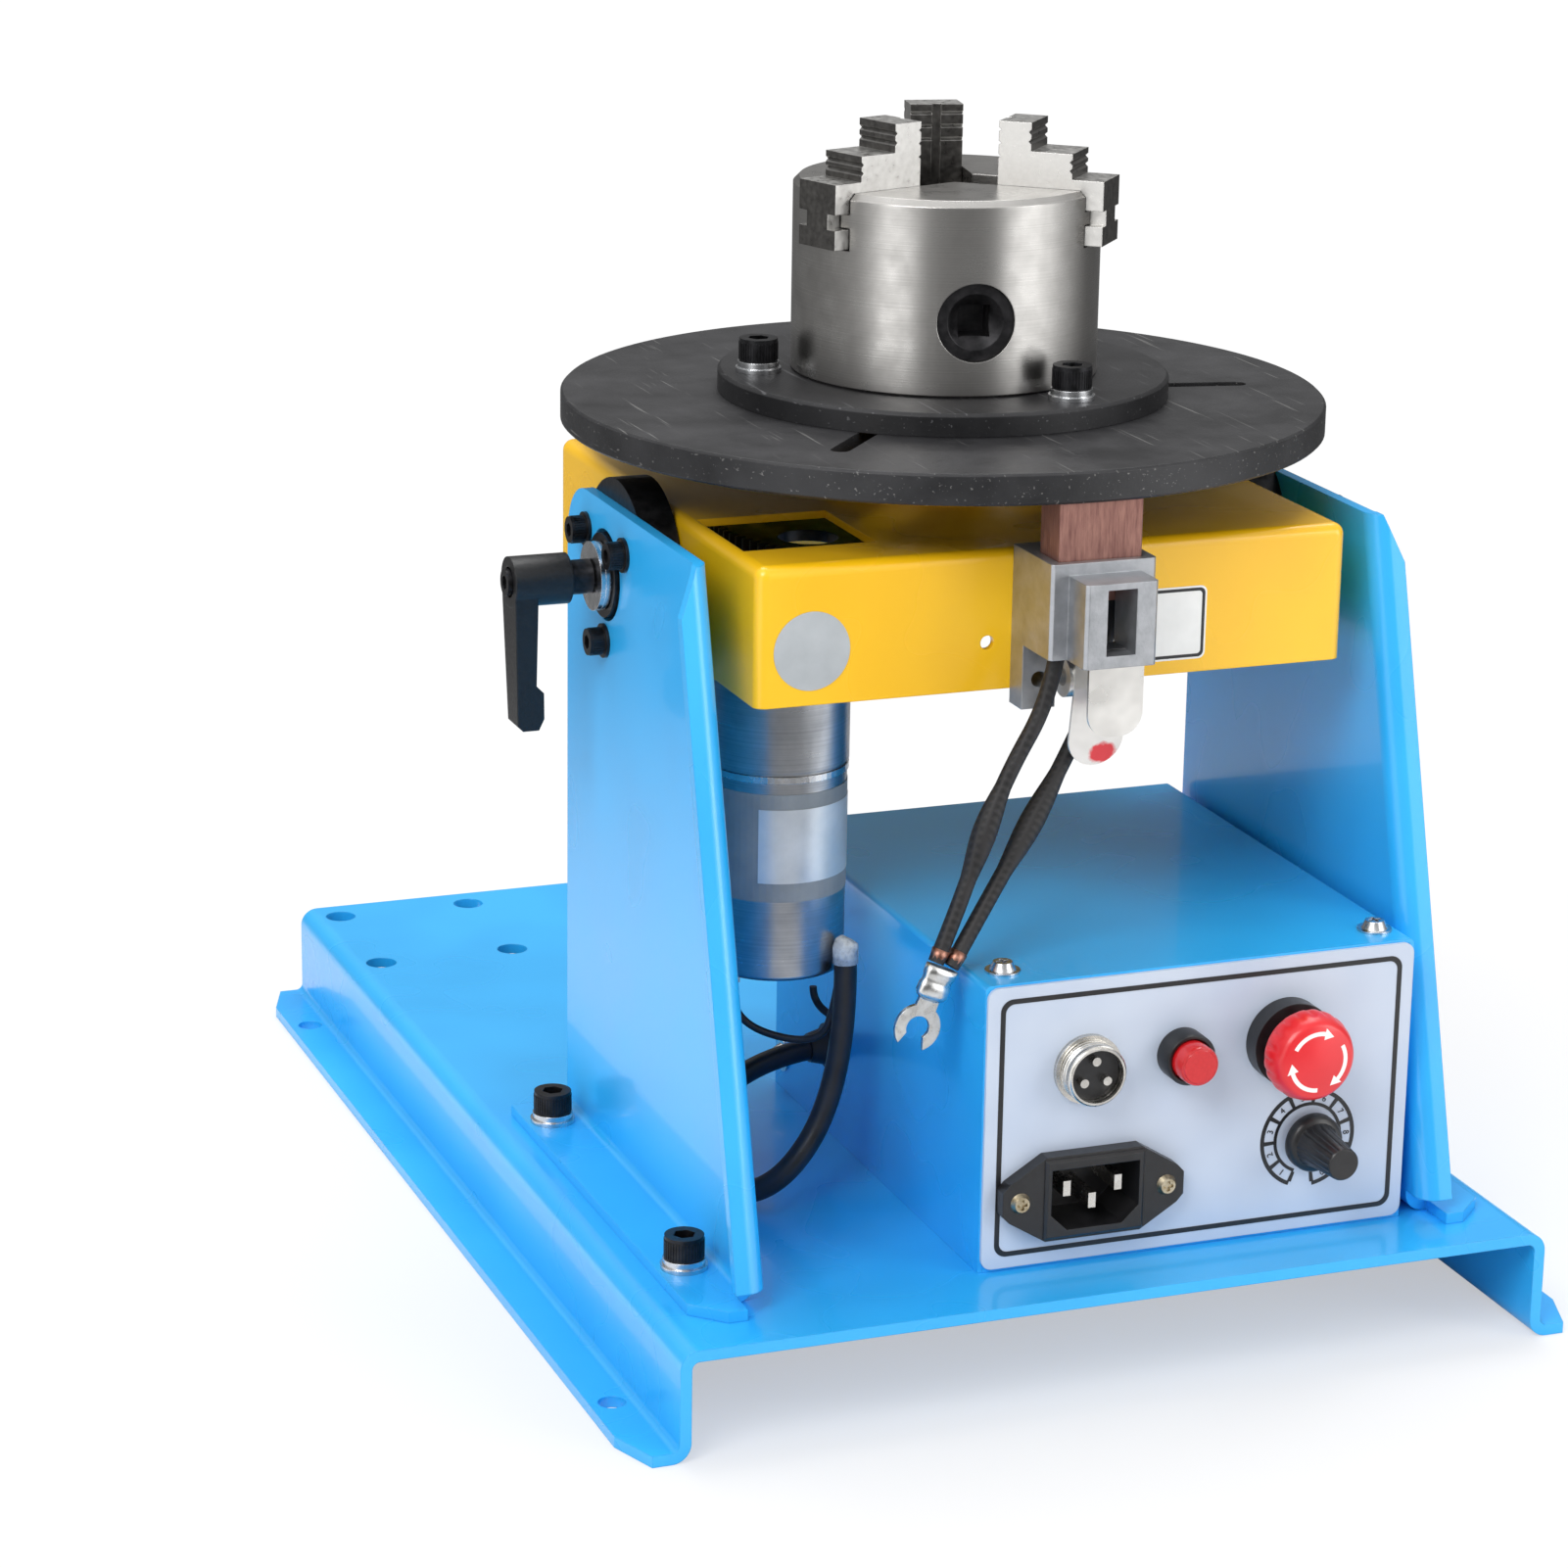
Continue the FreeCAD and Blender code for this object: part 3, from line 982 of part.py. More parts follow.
brush_top = table_low - 0.1
brush = new_body("brush")
pad(brush, rect(sketch(brush, "XY", brush_top - brush_h), blk_x - brush_w / 2, -brush_front, blk_x + brush_w / 2,
                brush_d - brush_front), brush_h)
dress(brush, "Chamfer", 0.5, lambda p, d: along(d, "z"))
node(brush, "brush", (0.54, 0.4, 0.38))

# ---------------------------------------------------------------- control box
chassis = new_body("box_chassis")
ch_front, ch_top = -box_front + label_t, box_top - box_t
flap = 15
pad(chassis, outline(sketch(chassis, "YZ", box_x + box_t), [
    (ch_front, top_z), (box_back, top_z), (box_back, ch_top), (box_back - flap, ch_top),
    (box_back - flap, ch_top - box_t), (box_back - box_t, ch_top - box_t), (box_back - box_t, top_z + box_t),
    (ch_front + box_t, top_z + box_t), (ch_front + box_t, ch_top - box_t), (ch_front + flap, ch_top - box_t),
    (ch_front + flap, ch_top), (ch_front, ch_top)]), box_w - 2 * box_t)
tabs = sketch(chassis, "XY", top_z + box_t)
for x0, x1 in ((box_x + box_t, box_x + 2 * box_t), (box_right - 2 * box_t, box_right - box_t)):
    rect(tabs, x0, box_back - box_t - 12, x1, box_back - box_t)
pad(chassis, tabs, 18)
side_y, side_z = box_back - 6, top_z + 10
pocket(chassis, circle(sketch(chassis, "YZ", box_right), side_y, side_z, 1.7), box_w)
inlet_hw, inlet_hh = size("inlet_body_half_width", 13.6, "mains inlet body"), \
    size("inlet_body_half_height", 10.6, "mains inlet body")


def panel_holes(sk):
    circle(sk, socket_x, socket_z, 7.9)
    circle(sk, lamp_x, lamp_z, 6)
    circle(sk, stop_x, stop_z, 8)
    circle(sk, knob_x, knob_z, 3.5)
    rect(sk, inlet_x - inlet_hw, inlet_z - inlet_hh, inlet_x + inlet_hw, inlet_z + inlet_hh)
    for s in BOTH:
        circle(sk, inlet_x + 20 * s, inlet_z, 1.5)
    return sk


pocket(chassis, panel_holes(sketch(chassis, "XZ", box_front + 1)), box_t + 3)
lid_screw = [(box_x + 8.5, -box_front + 10.5), (box_right - 6.5, -box_front + 10.5)]
taps = sketch(chassis, "XY", ch_top)
for x, y in lid_screw:
    circle(taps, x, y, 1.7)
pocket(chassis, taps, box_t)
node(chassis, "box_chassis", BLUE)

cover = new_body("box_cover")
pad(cover, outline(sketch(cover, "XZ", -ch_front), [
    (box_x, top_z), (box_x + box_t, top_z), (box_x + box_t, ch_top), (box_right - box_t, ch_top),
    (box_right - box_t, top_z), (box_right, top_z), (box_right, box_top), (box_x, box_top)]),
    box_back - ch_front, back=True)
dress(cover, "Fillet", 1.5, lambda p, d: along(d, "y") and near(p.z, box_top))
taps = sketch(cover, "XY", box_top + 1)
for x, y in lid_screw:
    circle(taps, x, y, 1.9)
pocket(cover, taps, box_t + 2)
pocket(cover, circle(sketch(cover, "YZ", box_right + 1), side_y, side_z, 1.9), box_w + 2)
gland_y, gland_z, gland_r = -52, 54, cable_r + 1.6
pocket(cover, circle(sketch(cover, "YZ", box_x + box_t + 1), gland_y, gland_z, gland_r + run_gap), box_t + 2)
node(cover, "box_cover", BLUE)


def pan_screw(x, y, z, turn, r=3.4, h=2.1, shank=1.7, length=5, washer=True):
    """Cross-head pan screw with its captive washer; the place is the face it holds down."""
    way, axis = {"+": 1, "-": -1}[turn[0]], "xyz".index(turn[1])
    back = {"+": "-", "-": "+"}[turn[0]] + turn[1]

    def at(n):
        p = [q(x), q(y), q(z)]
        p[axis] = p[axis] + q(n) * way
        return p
    t = 0.6 if washer else 0
    parts = [cone(r, r * 0.72, h, *at(t), turn=turn), cyl(shank, length + t, *at(t), turn=back)]
    if washer:
        parts.append(cyl(r + 1.1, t, *at(0), turn=turn))
    cross = []
    for sx, sy in ((r * 0.5, 0.45), (0.45, r * 0.5)):
        bar = box(-sx, -sy, h * 0.5, 2 * sx, 2 * sy, h)
        bar_turn = doc.addObject("Part::Compound", "Cross")
        bar_turn.Links = [bar]
        cross.append(place(bar_turn, *at(t), turn=turn))
    return cut(fuse(*parts), *cross)


screws = [pan_screw(x, y, box_top, "+z") for x, y in lid_screw]
screws += [pan_screw(box_x, side_y, side_z, "-x"), pan_screw(box_right, side_y, side_z, "+x")]
node(group(*screws), "box_screws", (0.8, 0.8, 0.82))

label = new_body("panel_label")
pad(label, rect(sketch(label, "XZ", box_front - label_t), box_x + 0.4, top_z + 1, box_right - 0.4, box_top - 0.6),
    label_t)
dress(label, "Fillet", 3, lambda p, d: along(d, "y"))
pocket(label, panel_holes(sketch(label, "XZ", box_front + 1)), label_t + 1.5)
node(label, "panel_label", (0.8, 0.86, 0.94))

face_y = box_front                                  # sketches on XZ planes count towards the front
inlet = new_body("mains_inlet")
pad(inlet, outline(sketch(inlet, "XZ", face_y), [
    (inlet_x - 24.8, inlet_z - 3), (inlet_x - 23, inlet_z - 5), (inlet_x - 13, inlet_z - 11.2),
    (inlet_x + 13, inlet_z - 11.2), (inlet_x + 23, inlet_z - 5), (inlet_x + 24.8, inlet_z - 3),
    (inlet_x + 24.8, inlet_z + 3), (inlet_x + 23, inlet_z + 5), (inlet_x + 13, inlet_z + 11.2),
    (inlet_x - 13, inlet_z + 11.2), (inlet_x - 23, inlet_z + 5), (inlet_x - 24.8, inlet_z + 3)]), 4)
pad(inlet, rect(sketch(inlet, "XZ", face_y), inlet_x - inlet_hw, inlet_z - inlet_hh, inlet_x + inlet_hw,
                inlet_z + inlet_hh), 5)
dress(inlet, "Chamfer", 0.7, lambda p, d: near(p.y, -face_y - 5))
pad(inlet, rect(sketch(inlet, "XZ", face_y), inlet_x - inlet_hw, inlet_z - inlet_hh, inlet_x + inlet_hw,
                inlet_z + inlet_hh), 17, back=True)
recess = outline(sketch(inlet, "XZ", face_y + 5), [
    (inlet_x - 12, inlet_z + 8), (inlet_x - 12, inlet_z - 4), (inlet_x - 7.5, inlet_z - 8.3),
    (inlet_x + 7.5, inlet_z - 8.3), (inlet_x + 12, inlet_z - 4), (inlet_x + 12, inlet_z + 8)])
pocket(inlet, recess, 16)
ears = sketch(inlet, "XZ", face_y + 4)
for s in BOTH:
    circle(ears, inlet_x + 20 * s, inlet_z, 1.6)
pocket(inlet, ears, 4)
blades = [box(inlet_x + dx - 1, -face_y - 3, inlet_z + dz - 2, 2, 18, 4) for dx, dz in ((-7, 2), (7, 2), (0, -2))]
node(cut(inlet, *blades), "mains_inlet", BLACK)
node(group(*blades), "mains_pins", (0.8, 0.8, 0.8))
node(group(*[pan_screw(inlet_x + 20 * s, -face_y - 4, inlet_z, "-y", 2.7, 1.3, 1.5, 9, False) for s in BOTH]),
     "inlet_screws", (0.8, 0.7, 0.45))

barrel = new_body("foot_socket")
turned(barrel, outline(sketch(barrel, "XY"), [
    (6.9, -18), (7.9, -18), (7.9, 0), (9, 0), (9, 1.6), (7.9, 1.6), (7.9, 2.2), (7.5, 2.5), (7.9, 2.8), (7.9, 3.3),
    (7.5, 3.6), (7.9, 3.9), (7.9, 4.4), (7.5, 4.7), (7.9, 5), (7.9, 6.6), (7.4, 7.1), (6.9, 7.1)]))
OUTWARD = Rotation(Vector(0, 0, 1), 180)            # local +Y stands out of the front panel
place(barrel, socket_x, -face_y, socket_z, OUTWARD)
node(barrel, "foot_socket", (0.8, 0.8, 0.8))
core = cyl(6.9 - run_gap, 20, socket_x, 16 - face_y, socket_z, "-y")
contact_at = [(socket_x + cosd(a) * 3.6, socket_z + sind(a) * 3.6) for a in (90, 210, 330)]
node(cut(core, *[cyl(1.15, 24, x, 18 - face_y, z, "-y") for x, z in contact_at]), "foot_socket_insert", BLACK)
node(group(*[cyl(1.15, 24, x, 18 - face_y, z, "-y") for x, z in contact_at]), "foot_socket_pins", (0.8, 0.8, 0.8))

bezel = fuse(cyl(8.2, 6.4, lamp_x, -face_y, lamp_z, "-y"), cyl(6, 16, lamp_x, -face_y, lamp_z, "+y"))
node(cut(bezel, cyl(6.4, 5.5, lamp_x, -face_y - 1.4, lamp_z, "-y")), "lamp_bezel", BLACK)
node(fuse(cyl(6.4, 5.8, lamp_x, -face_y - 1.4, lamp_z, "-y"), cone(6.4, 5.6, 1.6, lamp_x, -face_y - 7.2, lamp_z, "-y")),
     "lamp_lens", (0.8, 0.1, 0.1))

collar = fuse(cyl(11, 5.5, stop_x, -face_y, stop_z, "-y"), cyl(8, 22, stop_x, -face_y, stop_z, "+y"))
node(cut(collar, cyl(4 + run_gap, 40, stop_x, 24 - face_y, stop_z, "-y")), "stop_collar", BLACK)
node(cyl(4, 34, stop_x, 20 - face_y, stop_z, "-y"), "stop_stem", (0.8, 0.8, 0.8))
cap = new_body("stop_cap")
turned(cap, outline(sketch(cap, "XY"), [
    (0, 14 + 0.05), (4 + run_gap, 14 + 0.05), (4 + run_gap, 9.5), (11.5, 9.5), (11.5, 4.6), (stop_r - 0.6, 4.6),
    (stop_r, 5.4), (stop_r, 12.5), (stop_r - 1.2, 15.5), (stop_r - 3.2, 17.6), (stop_r - 4, 18.8), (0, 19.6)]))
flute = pocket(cap, circle(sketch(cap, "XZ", -5), stop_r + 1.3, 0, 2.1), 8)
around(cap, [flute], 12, "Y_Axis")
node(place(cap, stop_x, -face_y, stop_z, OUTWARD), "stop_cap", (0.85, 0.1, 0.12))

pot = fuse(cyl(8.5, 10, knob_x, box_t + label_t - face_y, knob_z, "+y"),
           cyl(3.5, box_t + label_t + 2.4, knob_x, box_t + label_t - face_y, knob_z, "-y"),
           hexagon(5.2, 2, knob_x, -face_y, knob_z, "-y"), cyl(3, 12, knob_x, -face_y, knob_z, "-y"))
node(pot, "speed_pot", (0.6, 0.6, 0.6))
knob = new_body("speed_knob")
turned(knob, outline(sketch(knob, "XY"), [
    (6.2, 0.5), (knob_r, 0.5), (knob_r, 3.2), (5.9, 4.4), (5, 17.6), (4.2, 18.5), (0, 18.5), (0, 12.5),
    (3 + run_gap, 12.5), (3 + run_gap, 3.2), (6.2, 3.2)]))
flute = pocket(knob, circle(sketch(knob, "XZ", -5.6), 6.3, 0, 0.9), 9.5)
around(knob, [flute], 16, "Y_Axis")
node(place(knob, knob_x, -face_y, knob_z, OUTWARD), "speed_knob", BLACK)

# ---------------------------------------------------------------- cords
gland = fuse(cyl(gland_r, 3 * box_t, box_x + 2 * box_t, gland_y, gland_z, "-x"),
             cyl(gland_r + 1.6, 1.4, box_x, gland_y, gland_z, "-x"),
             cone(gland_r + 0.6, cable_r + 0.9, 5, box_x - 1.4, gland_y, gland_z, "-x"))
node(cut(gland, cyl(cable_r + run_gap, 14, box_x + 5, gland_y, gland_z, "-x")), "cable_grommet", BLACK)
doc.recompute()
motor_route = [(-45.8, -97.3, 98), (-45, -99, 62), (-70, -106, 32.4), (-84, -68, 32.4), (-56, -52, 54),
               (-29, -52, 54)]
node(solid_of(wire_tube(motor_route, cable_r.v, "motor_cable"), "Motor_cable"), "motor_cable", BLACK)
front_route = [(-7.2, -139.6, 196.5), (-7.8, -139.6, 176), (-23.4, -141, 151), (-33.5, -142.5, 123),
               (-40.5, -144.4, 108.8)]
rear_route = [(8.5, -133, 196.5), (7.8, -132.6, 176), (0.5, -131.5, 158), (-12.2, -136, 139.7),
              (-25.8, -141, 122), (-36.4, -144.4, 107.3)]
node(solid_of(wire_tube(front_route, lead_r.v, "brush_lead_front"), "Lead"), "brush_lead_front", BLACK)
node(solid_of(wire_tube(rear_route, lead_r.v, "brush_lead_rear"), "Lead"), "brush_lead_rear", BLACK)
eye_r, jaw_half = 5.4, 2.8
eye = cut(cyl(eye_r, 1.2, 0, 0.6, 0, "-y"), cyl(jaw_half, 3, 0, 1.5, 0, "-y"),
          box(-jaw_half, -2, -eye_r - 2, 2 * jaw_half, 4, eye_r + 2))
ears = fuse(eye, box(-3, -0.6, 4.2, 6, 1.2, 4), box(-4.4, -2.3, 7.8, 8.8, 4.6, 8.7))
lug = fuse(ears, *[box(s * 4.1 - 1.3, -0.6, -5.6, 2.6, 1.2, 5.6) for s in BOTH])
node(place(lug, -45.2, -144.5, 92.4, Rotation(Vector(0, 1, 0), 23.3)), "fork_lug", (0.8, 0.8, 0.8))

# ---------------------------------------------------------------- check and write
doc.recompute()
for obj in doc.Objects:
    if {"Invalid", "Error"} & set(obj.State):
        raise ValueError("%s is %s" % (obj.Label, obj.State))
for name, obj in NODES.items():
    if obj.Shape.isNull() or not obj.Shape.isValid() or not obj.Shape.Solids:
        raise ValueError("bad shape in " + name)
for name, obj in NODES.items():
    obj.Shape.exportStep("parts/%s.step" % name)
print(len(NODES), "sub-parts")
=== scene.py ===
"""Looks of a bench welding positioner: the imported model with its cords, finishes and fine trim."""
import math

import bmesh
import bpy
from mathutils import Matrix, Vector


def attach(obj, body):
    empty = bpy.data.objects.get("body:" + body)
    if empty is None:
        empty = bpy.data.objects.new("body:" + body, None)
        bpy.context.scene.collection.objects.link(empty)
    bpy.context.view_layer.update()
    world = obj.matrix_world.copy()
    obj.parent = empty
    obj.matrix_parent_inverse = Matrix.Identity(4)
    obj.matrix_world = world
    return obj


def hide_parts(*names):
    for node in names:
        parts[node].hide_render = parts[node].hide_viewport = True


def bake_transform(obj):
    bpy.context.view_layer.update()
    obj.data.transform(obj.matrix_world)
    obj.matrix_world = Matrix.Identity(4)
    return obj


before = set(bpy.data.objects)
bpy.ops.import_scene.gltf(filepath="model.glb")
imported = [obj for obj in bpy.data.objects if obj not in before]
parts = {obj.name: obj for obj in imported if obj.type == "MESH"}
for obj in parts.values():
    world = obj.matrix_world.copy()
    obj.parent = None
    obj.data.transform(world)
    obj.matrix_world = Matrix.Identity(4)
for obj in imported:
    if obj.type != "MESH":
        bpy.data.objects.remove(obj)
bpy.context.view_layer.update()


# ---------------------------------------------------------------- studio
# A pale seamless floor, one broad lamp from the upper left, a weaker one from the right and one
# above. Mirrors also see two bright screens, so turned steel shows light and dark bands.
def tint(hexcode):
    """An sRGB hex colour as the linear colour that a shader wants."""
    rgb = [int(hexcode[i:i + 2], 16) / 255 for i in (1, 3, 5)]
    return [c / 12.92 if c <= 0.04045 else ((c + 0.055) / 1.055) ** 2.4 for c in rgb] + [1.0]


def add(tree, kind, links=None, **settings):
    """Add a node; settings are its properties, links are its inputs, as values or as other sockets."""
    node = tree.nodes.new(kind)
    for name, value in settings.items():
        setattr(node, name, value)
    for name, value in (links or {}).items():
        socket = node.inputs[name]
        if isinstance(value, bpy.types.NodeSocket):
            tree.links.new(value, socket)
        else:
            socket.default_value = value
    return node


def shown(name, data, material=None):
    """A new object in the scene for this data, covered in one material if it takes any."""
    obj = bpy.data.objects.new(name, data)
    bpy.context.scene.collection.objects.link(obj)
    if material:
        data.materials.clear()
        data.materials.append(material)
    return obj


def tent_round(tree, direction):
    """Brightness of the studio by compass direction: two bright screens with darker gaps between."""
    split = add(tree, "ShaderNodeSeparateXYZ", {0: direction})
    angle = add(tree, "ShaderNodeMath", {0: split.outputs["Y"], 1: split.outputs["X"]},
                operation="ARCTAN2")
    turn = add(tree, "ShaderNodeMapRange", {0: angle.outputs[0], 1: -math.pi, 2: math.pi, 3: 0.0, 4: 1.0})
    tent = add(tree, "ShaderNodeValToRGB", {0: turn.outputs[0]})
    tent.color_ramp.interpolation = "EASE"
    screens = [(0.0, 0.22), (0.035, 0.34), (0.06, 1.0), (0.11, 1.0), (0.145, 0.16), (0.295, 0.13),
               (0.325, 1.0), (0.39, 1.0), (0.455, 0.34), (0.53, 0.07), (0.74, 0.09), (0.87, 0.14),
               (1.0, 0.22)]                        # share of the full turn, and level
    while len(tent.color_ramp.elements) < len(screens):
        tent.color_ramp.elements.new(0.5)
    for element, (at, level) in zip(tent.color_ramp.elements, screens):
        element.position = at
        element.color = (level, level, level, 1)
    return tent.outputs[0], split.outputs["Z"]


floor_half = 9
paper_end, white_start = 0.16, 0.46                # metres out, where the paper fades into white
shadow_share = 0.48                                # how much white is mixed in right under the object
screen_start, screen_full = 0.25, 0.6              # metres out, where a mirror sees the screens instead
floor_paper = bpy.data.materials.new("floor_paper")
floor_paper.use_nodes = True
tree = floor_paper.node_tree
tree.nodes.clear()
path = add(tree, "ShaderNodeLightPath")
spot = add(tree, "ShaderNodeNewGeometry")
reach = add(tree, "ShaderNodeVectorMath", {0: spot.outputs["Position"]}, operation="LENGTH")
away = add(tree, "ShaderNodeMapRange", {0: reach.outputs["Value"], 1: paper_end, 2: white_start,
                                        3: shadow_share, 4: 1.0}, interpolation_type="SMOOTHSTEP")
far_off = add(tree, "ShaderNodeMapRange", {0: reach.outputs["Value"], 1: screen_start, 2: screen_full,
                                           3: 0.0, 4: 1.0})
screen, _ = tent_round(tree, spot.outputs["Position"])
paper = add(tree, "ShaderNodeBsdfDiffuse", {"Color": tint("#E9E9EA")})
white = add(tree, "ShaderNodeEmission", {"Color": (1, 1, 1, 1), "Strength": 1.02})
bands = add(tree, "ShaderNodeEmission", {"Color": screen, "Strength": 1.75})
for_eye = add(tree, "ShaderNodeMixShader", {0: away.outputs[0], 1: paper.outputs[0], 2: white.outputs[0]})
for_gloss = add(tree, "ShaderNodeMixShader", {0: far_off.outputs[0], 1: paper.outputs[0],
                                              2: bands.outputs[0]})
first = add(tree, "ShaderNodeMixShader", {0: path.outputs["Is Glossy Ray"], 1: paper.outputs[0],
                                          2: for_gloss.outputs[0]})
second = add(tree, "ShaderNodeMixShader", {0: path.outputs["Is Camera Ray"], 1: first.outputs[0],
                                           2: for_eye.outputs[0]})
add(tree, "ShaderNodeOutputMaterial", {"Surface": second.outputs[0]})
floor_mesh = bpy.data.meshes.new("studio_floor")
corners = ((-1, -1), (1, -1), (1, 1), (-1, 1))
floor_mesh.from_pydata([(x * floor_half, y * floor_half, 0) for x, y in corners], [], [(0, 1, 2, 3)])
shown("studio_floor", floor_mesh, floor_paper)

world = bpy.data.worlds.new("studio")
bpy.context.scene.world = world
world.use_nodes = True
tree = world.node_tree
tree.nodes.clear()
path = add(tree, "ShaderNodeLightPath")
spot = add(tree, "ShaderNodeTexCoord")
screen, rise = tent_round(tree, spot.outputs["Generated"])
high = add(tree, "ShaderNodeMapRange", {0: rise, 1: 0.25, 2: 0.8, 3: 0.0, 4: 1.0})
dome = add(tree, "ShaderNodeMix", {0: high.outputs[0], 6: screen, 7: (0.6, 0.6, 0.6, 1)}, data_type="RGBA")
for_gloss = add(tree, "ShaderNodeBackground", {"Color": dome.outputs[2], "Strength": 1.6})
for_skin = add(tree, "ShaderNodeBackground", {"Color": (1, 1, 1, 1), "Strength": 0.62})
for_eye = add(tree, "ShaderNodeBackground", {"Color": (1, 1, 1, 1), "Strength": 1.0})
seen = for_skin
for ray, light in (("Is Glossy Ray", for_gloss), ("Is Camera Ray", for_eye),
                   ("Is Transmission Ray", for_eye)):
    seen = add(tree, "ShaderNodeMixShader", {0: path.outputs[ray], 1: seen.outputs[0], 2: light.outputs[0]})
add(tree, "ShaderNodeOutputWorld", {"Surface": seen.outputs[0]})

for name, where, aim, width, height, power in (
        ("broad_lamp", (-1.5, -1.3, 1.9), (0, 0, 0.12), 1.3, 1.3, 34),
        ("side_lamp", (1.5, -1.7, 0.9), (0, 0, 0.12), 0.9, 1.4, 13),
        ("top_lamp", (0.2, 0.6, 2.0), (0, 0, 0.1), 1.6, 1.0, 22)):
    lamp = bpy.data.lights.new(name, "AREA")
    lamp.shape = "RECTANGLE"
    lamp.size = width
    lamp.size_y = height
    lamp.energy = power
    holder = shown(name, lamp)
    holder.location = where
    holder.rotation_mode = "QUATERNION"
    holder.rotation_quaternion = (Vector(aim) - Vector(where)).to_track_quat("-Z", "Y")

eye = (-0.44923, -1.10598, 0.46854)                # metres, with the three axes of the view below
right = (0.93544983, -0.35315073, 0.0147711)
up = (0.08860231, 0.27474179, 0.95742706)
back = (-0.3421743, -0.89431622, 0.28829713)
lens = bpy.data.cameras.new("camera")
lens.sensor_width = 36
lens.lens = 102.76752
lens.clip_start = 0.05
lens.clip_end = 40
camera = shown("camera", lens)
camera.matrix_world = Matrix.Translation(eye) @ Matrix((right, up, back)).transposed().to_4x4()
bpy.context.scene.camera = camera
bpy.context.scene.view_settings.view_transform = "Standard"

# ---------------------------------------------------------------- motor cable
# Soft rubber cable of 6 mm from the control box to the gear motor, with a few millimetres of slack.
# It leaves the grommet in the box's left wall, lies on the base and climbs to the motor's tail.
MM = 0.001


def finish_of(name, colour, roughness, metallic=0.0, **more):
    """A new material with its tree, shader and object coordinates ready to build on."""
    mat = bpy.data.materials.new(name)
    mat.use_nodes = True
    shader = mat.node_tree.nodes["Principled BSDF"]
    shader.inputs["Base Color"].default_value = tint(colour)
    shader.inputs["Roughness"].default_value = roughness
    shader.inputs["Metallic"].default_value = metallic
    for key, value in more.items():
        shader.inputs[key.replace("_", " ")].default_value = value
    at = add(mat.node_tree, "ShaderNodeTexCoord").outputs["Object"]
    return mat, mat.node_tree, shader, at


def noise_of(tree, at, cell_mm, detail, **more):
    """Noise with cells of a real size."""
    return add(tree, "ShaderNodeTexNoise", {"Vector": at, "Scale": 1 / (cell_mm * MM), "Detail": detail,
                                            **more})


def blend_tones(tree, share, dark, light):
    """A colour between two, each a hex tone or a socket."""
    tones = [tint(one) if isinstance(one, str) else one for one in (dark, light)]
    mix = add(tree, "ShaderNodeMix", {0: share, 6: tones[0], 7: tones[1]}, data_type="RGBA")
    return mix.outputs[2]


def vary(tree, shader, at, cell_mm, low, high, dark, light, detail=4.0):
    """Noise that shifts both the colour, between two hex tones, and the gloss."""
    noise = noise_of(tree, at, cell_mm, detail, Roughness=0.6)
    mask = add(tree, "ShaderNodeMapRange", {0: noise.outputs[0], 1: 0.3, 2: 0.7, 3: 0.0, 4: 1.0})
    tone = blend_tones(tree, mask.outputs[0], dark, light)
    tree.links.new(tone, shader.inputs["Base Color"])
    gloss = add(tree, "ShaderNodeMapRange", {0: mask.outputs[0], 1: 0.0, 2: 1.0, 3: low, 4: high})
    tree.links.new(gloss.outputs[0], shader.inputs["Roughness"])
    return mask.outputs[0], tone


def relief(tree, shader, height, depth_mm, strength=1.0, edge_mm=0.0):
    """Bump from a height socket; edge_mm also rounds the edges that a folded or turned piece has."""
    links = {"Height": height, "Distance": depth_mm * MM, "Strength": strength}
    if edge_mm:
        links["Normal"] = add(tree, "ShaderNodeBevel", {"Radius": edge_mm * MM}, samples=4).outputs[0]
    bump = add(tree, "ShaderNodeBump", links)
    tree.links.new(bump.outputs[0], shader.inputs["Normal"])


def dress_nodes(material, names):
    """Give the named CAD pieces this one material."""
    for node in names.split():
        mesh = parts[node].data
        mesh.materials.clear()
        mesh.materials.append(material)


def route_curve(name, points, diameter, material):
    """A round cord on one smooth curve through its given control points, in millimetres."""
    curve = bpy.data.curves.new(name, "CURVE")
    curve.dimensions = "3D"
    curve.bevel_depth = diameter * MM / 2
    curve.bevel_resolution = 5
    curve.resolution_u = 14
    curve.use_fill_caps = True
    line = curve.splines.new("NURBS")
    line.points.add(len(points) - 1)
    for control, p in zip(line.points, points):
        control.co = (p[0] * MM, p[1] * MM, p[2] * MM, 1)
    line.order_u = 3
    line.use_endpoint_u = True
    return shown(name, curve, material)


def mesh_of(obj):
    """The mesh that an object comes out as, with its modifiers or its curve's thickness."""
    bpy.context.view_layer.update()
    return bpy.data.meshes.new_from_object(obj.evaluated_get(bpy.context.evaluated_depsgraph_get()))


def solid_of(obj):
    """The same mesh, with the object itself taken away."""
    mesh = mesh_of(obj)
    bpy.data.objects.remove(obj)
    return mesh


def centre_line(curve_object):
    """The points that a curve's own line runs through, and its length."""
    curve = curve_object.data
    depth = curve.bevel_depth
    curve.bevel_depth = 0
    curve.use_fill_caps = False
    line = [v.co.copy() for v in mesh_of(curve_object).vertices]
    curve.bevel_depth = depth
    curve.use_fill_caps = True
    return line, sum((b - a).length for a, b in zip(line, line[1:]))


rubber, tree, shader, at = finish_of("cable_rubber", "#1C1A1B", 0.42)
vary(tree, shader, at, 9, 0.34, 0.55, "#161415", "#2A2728")
relief(tree, shader, noise_of(tree, at, 0.7, 2.0).outputs[0], 0.05, 0.5)
dress_nodes(rubber, "cable_grommet")

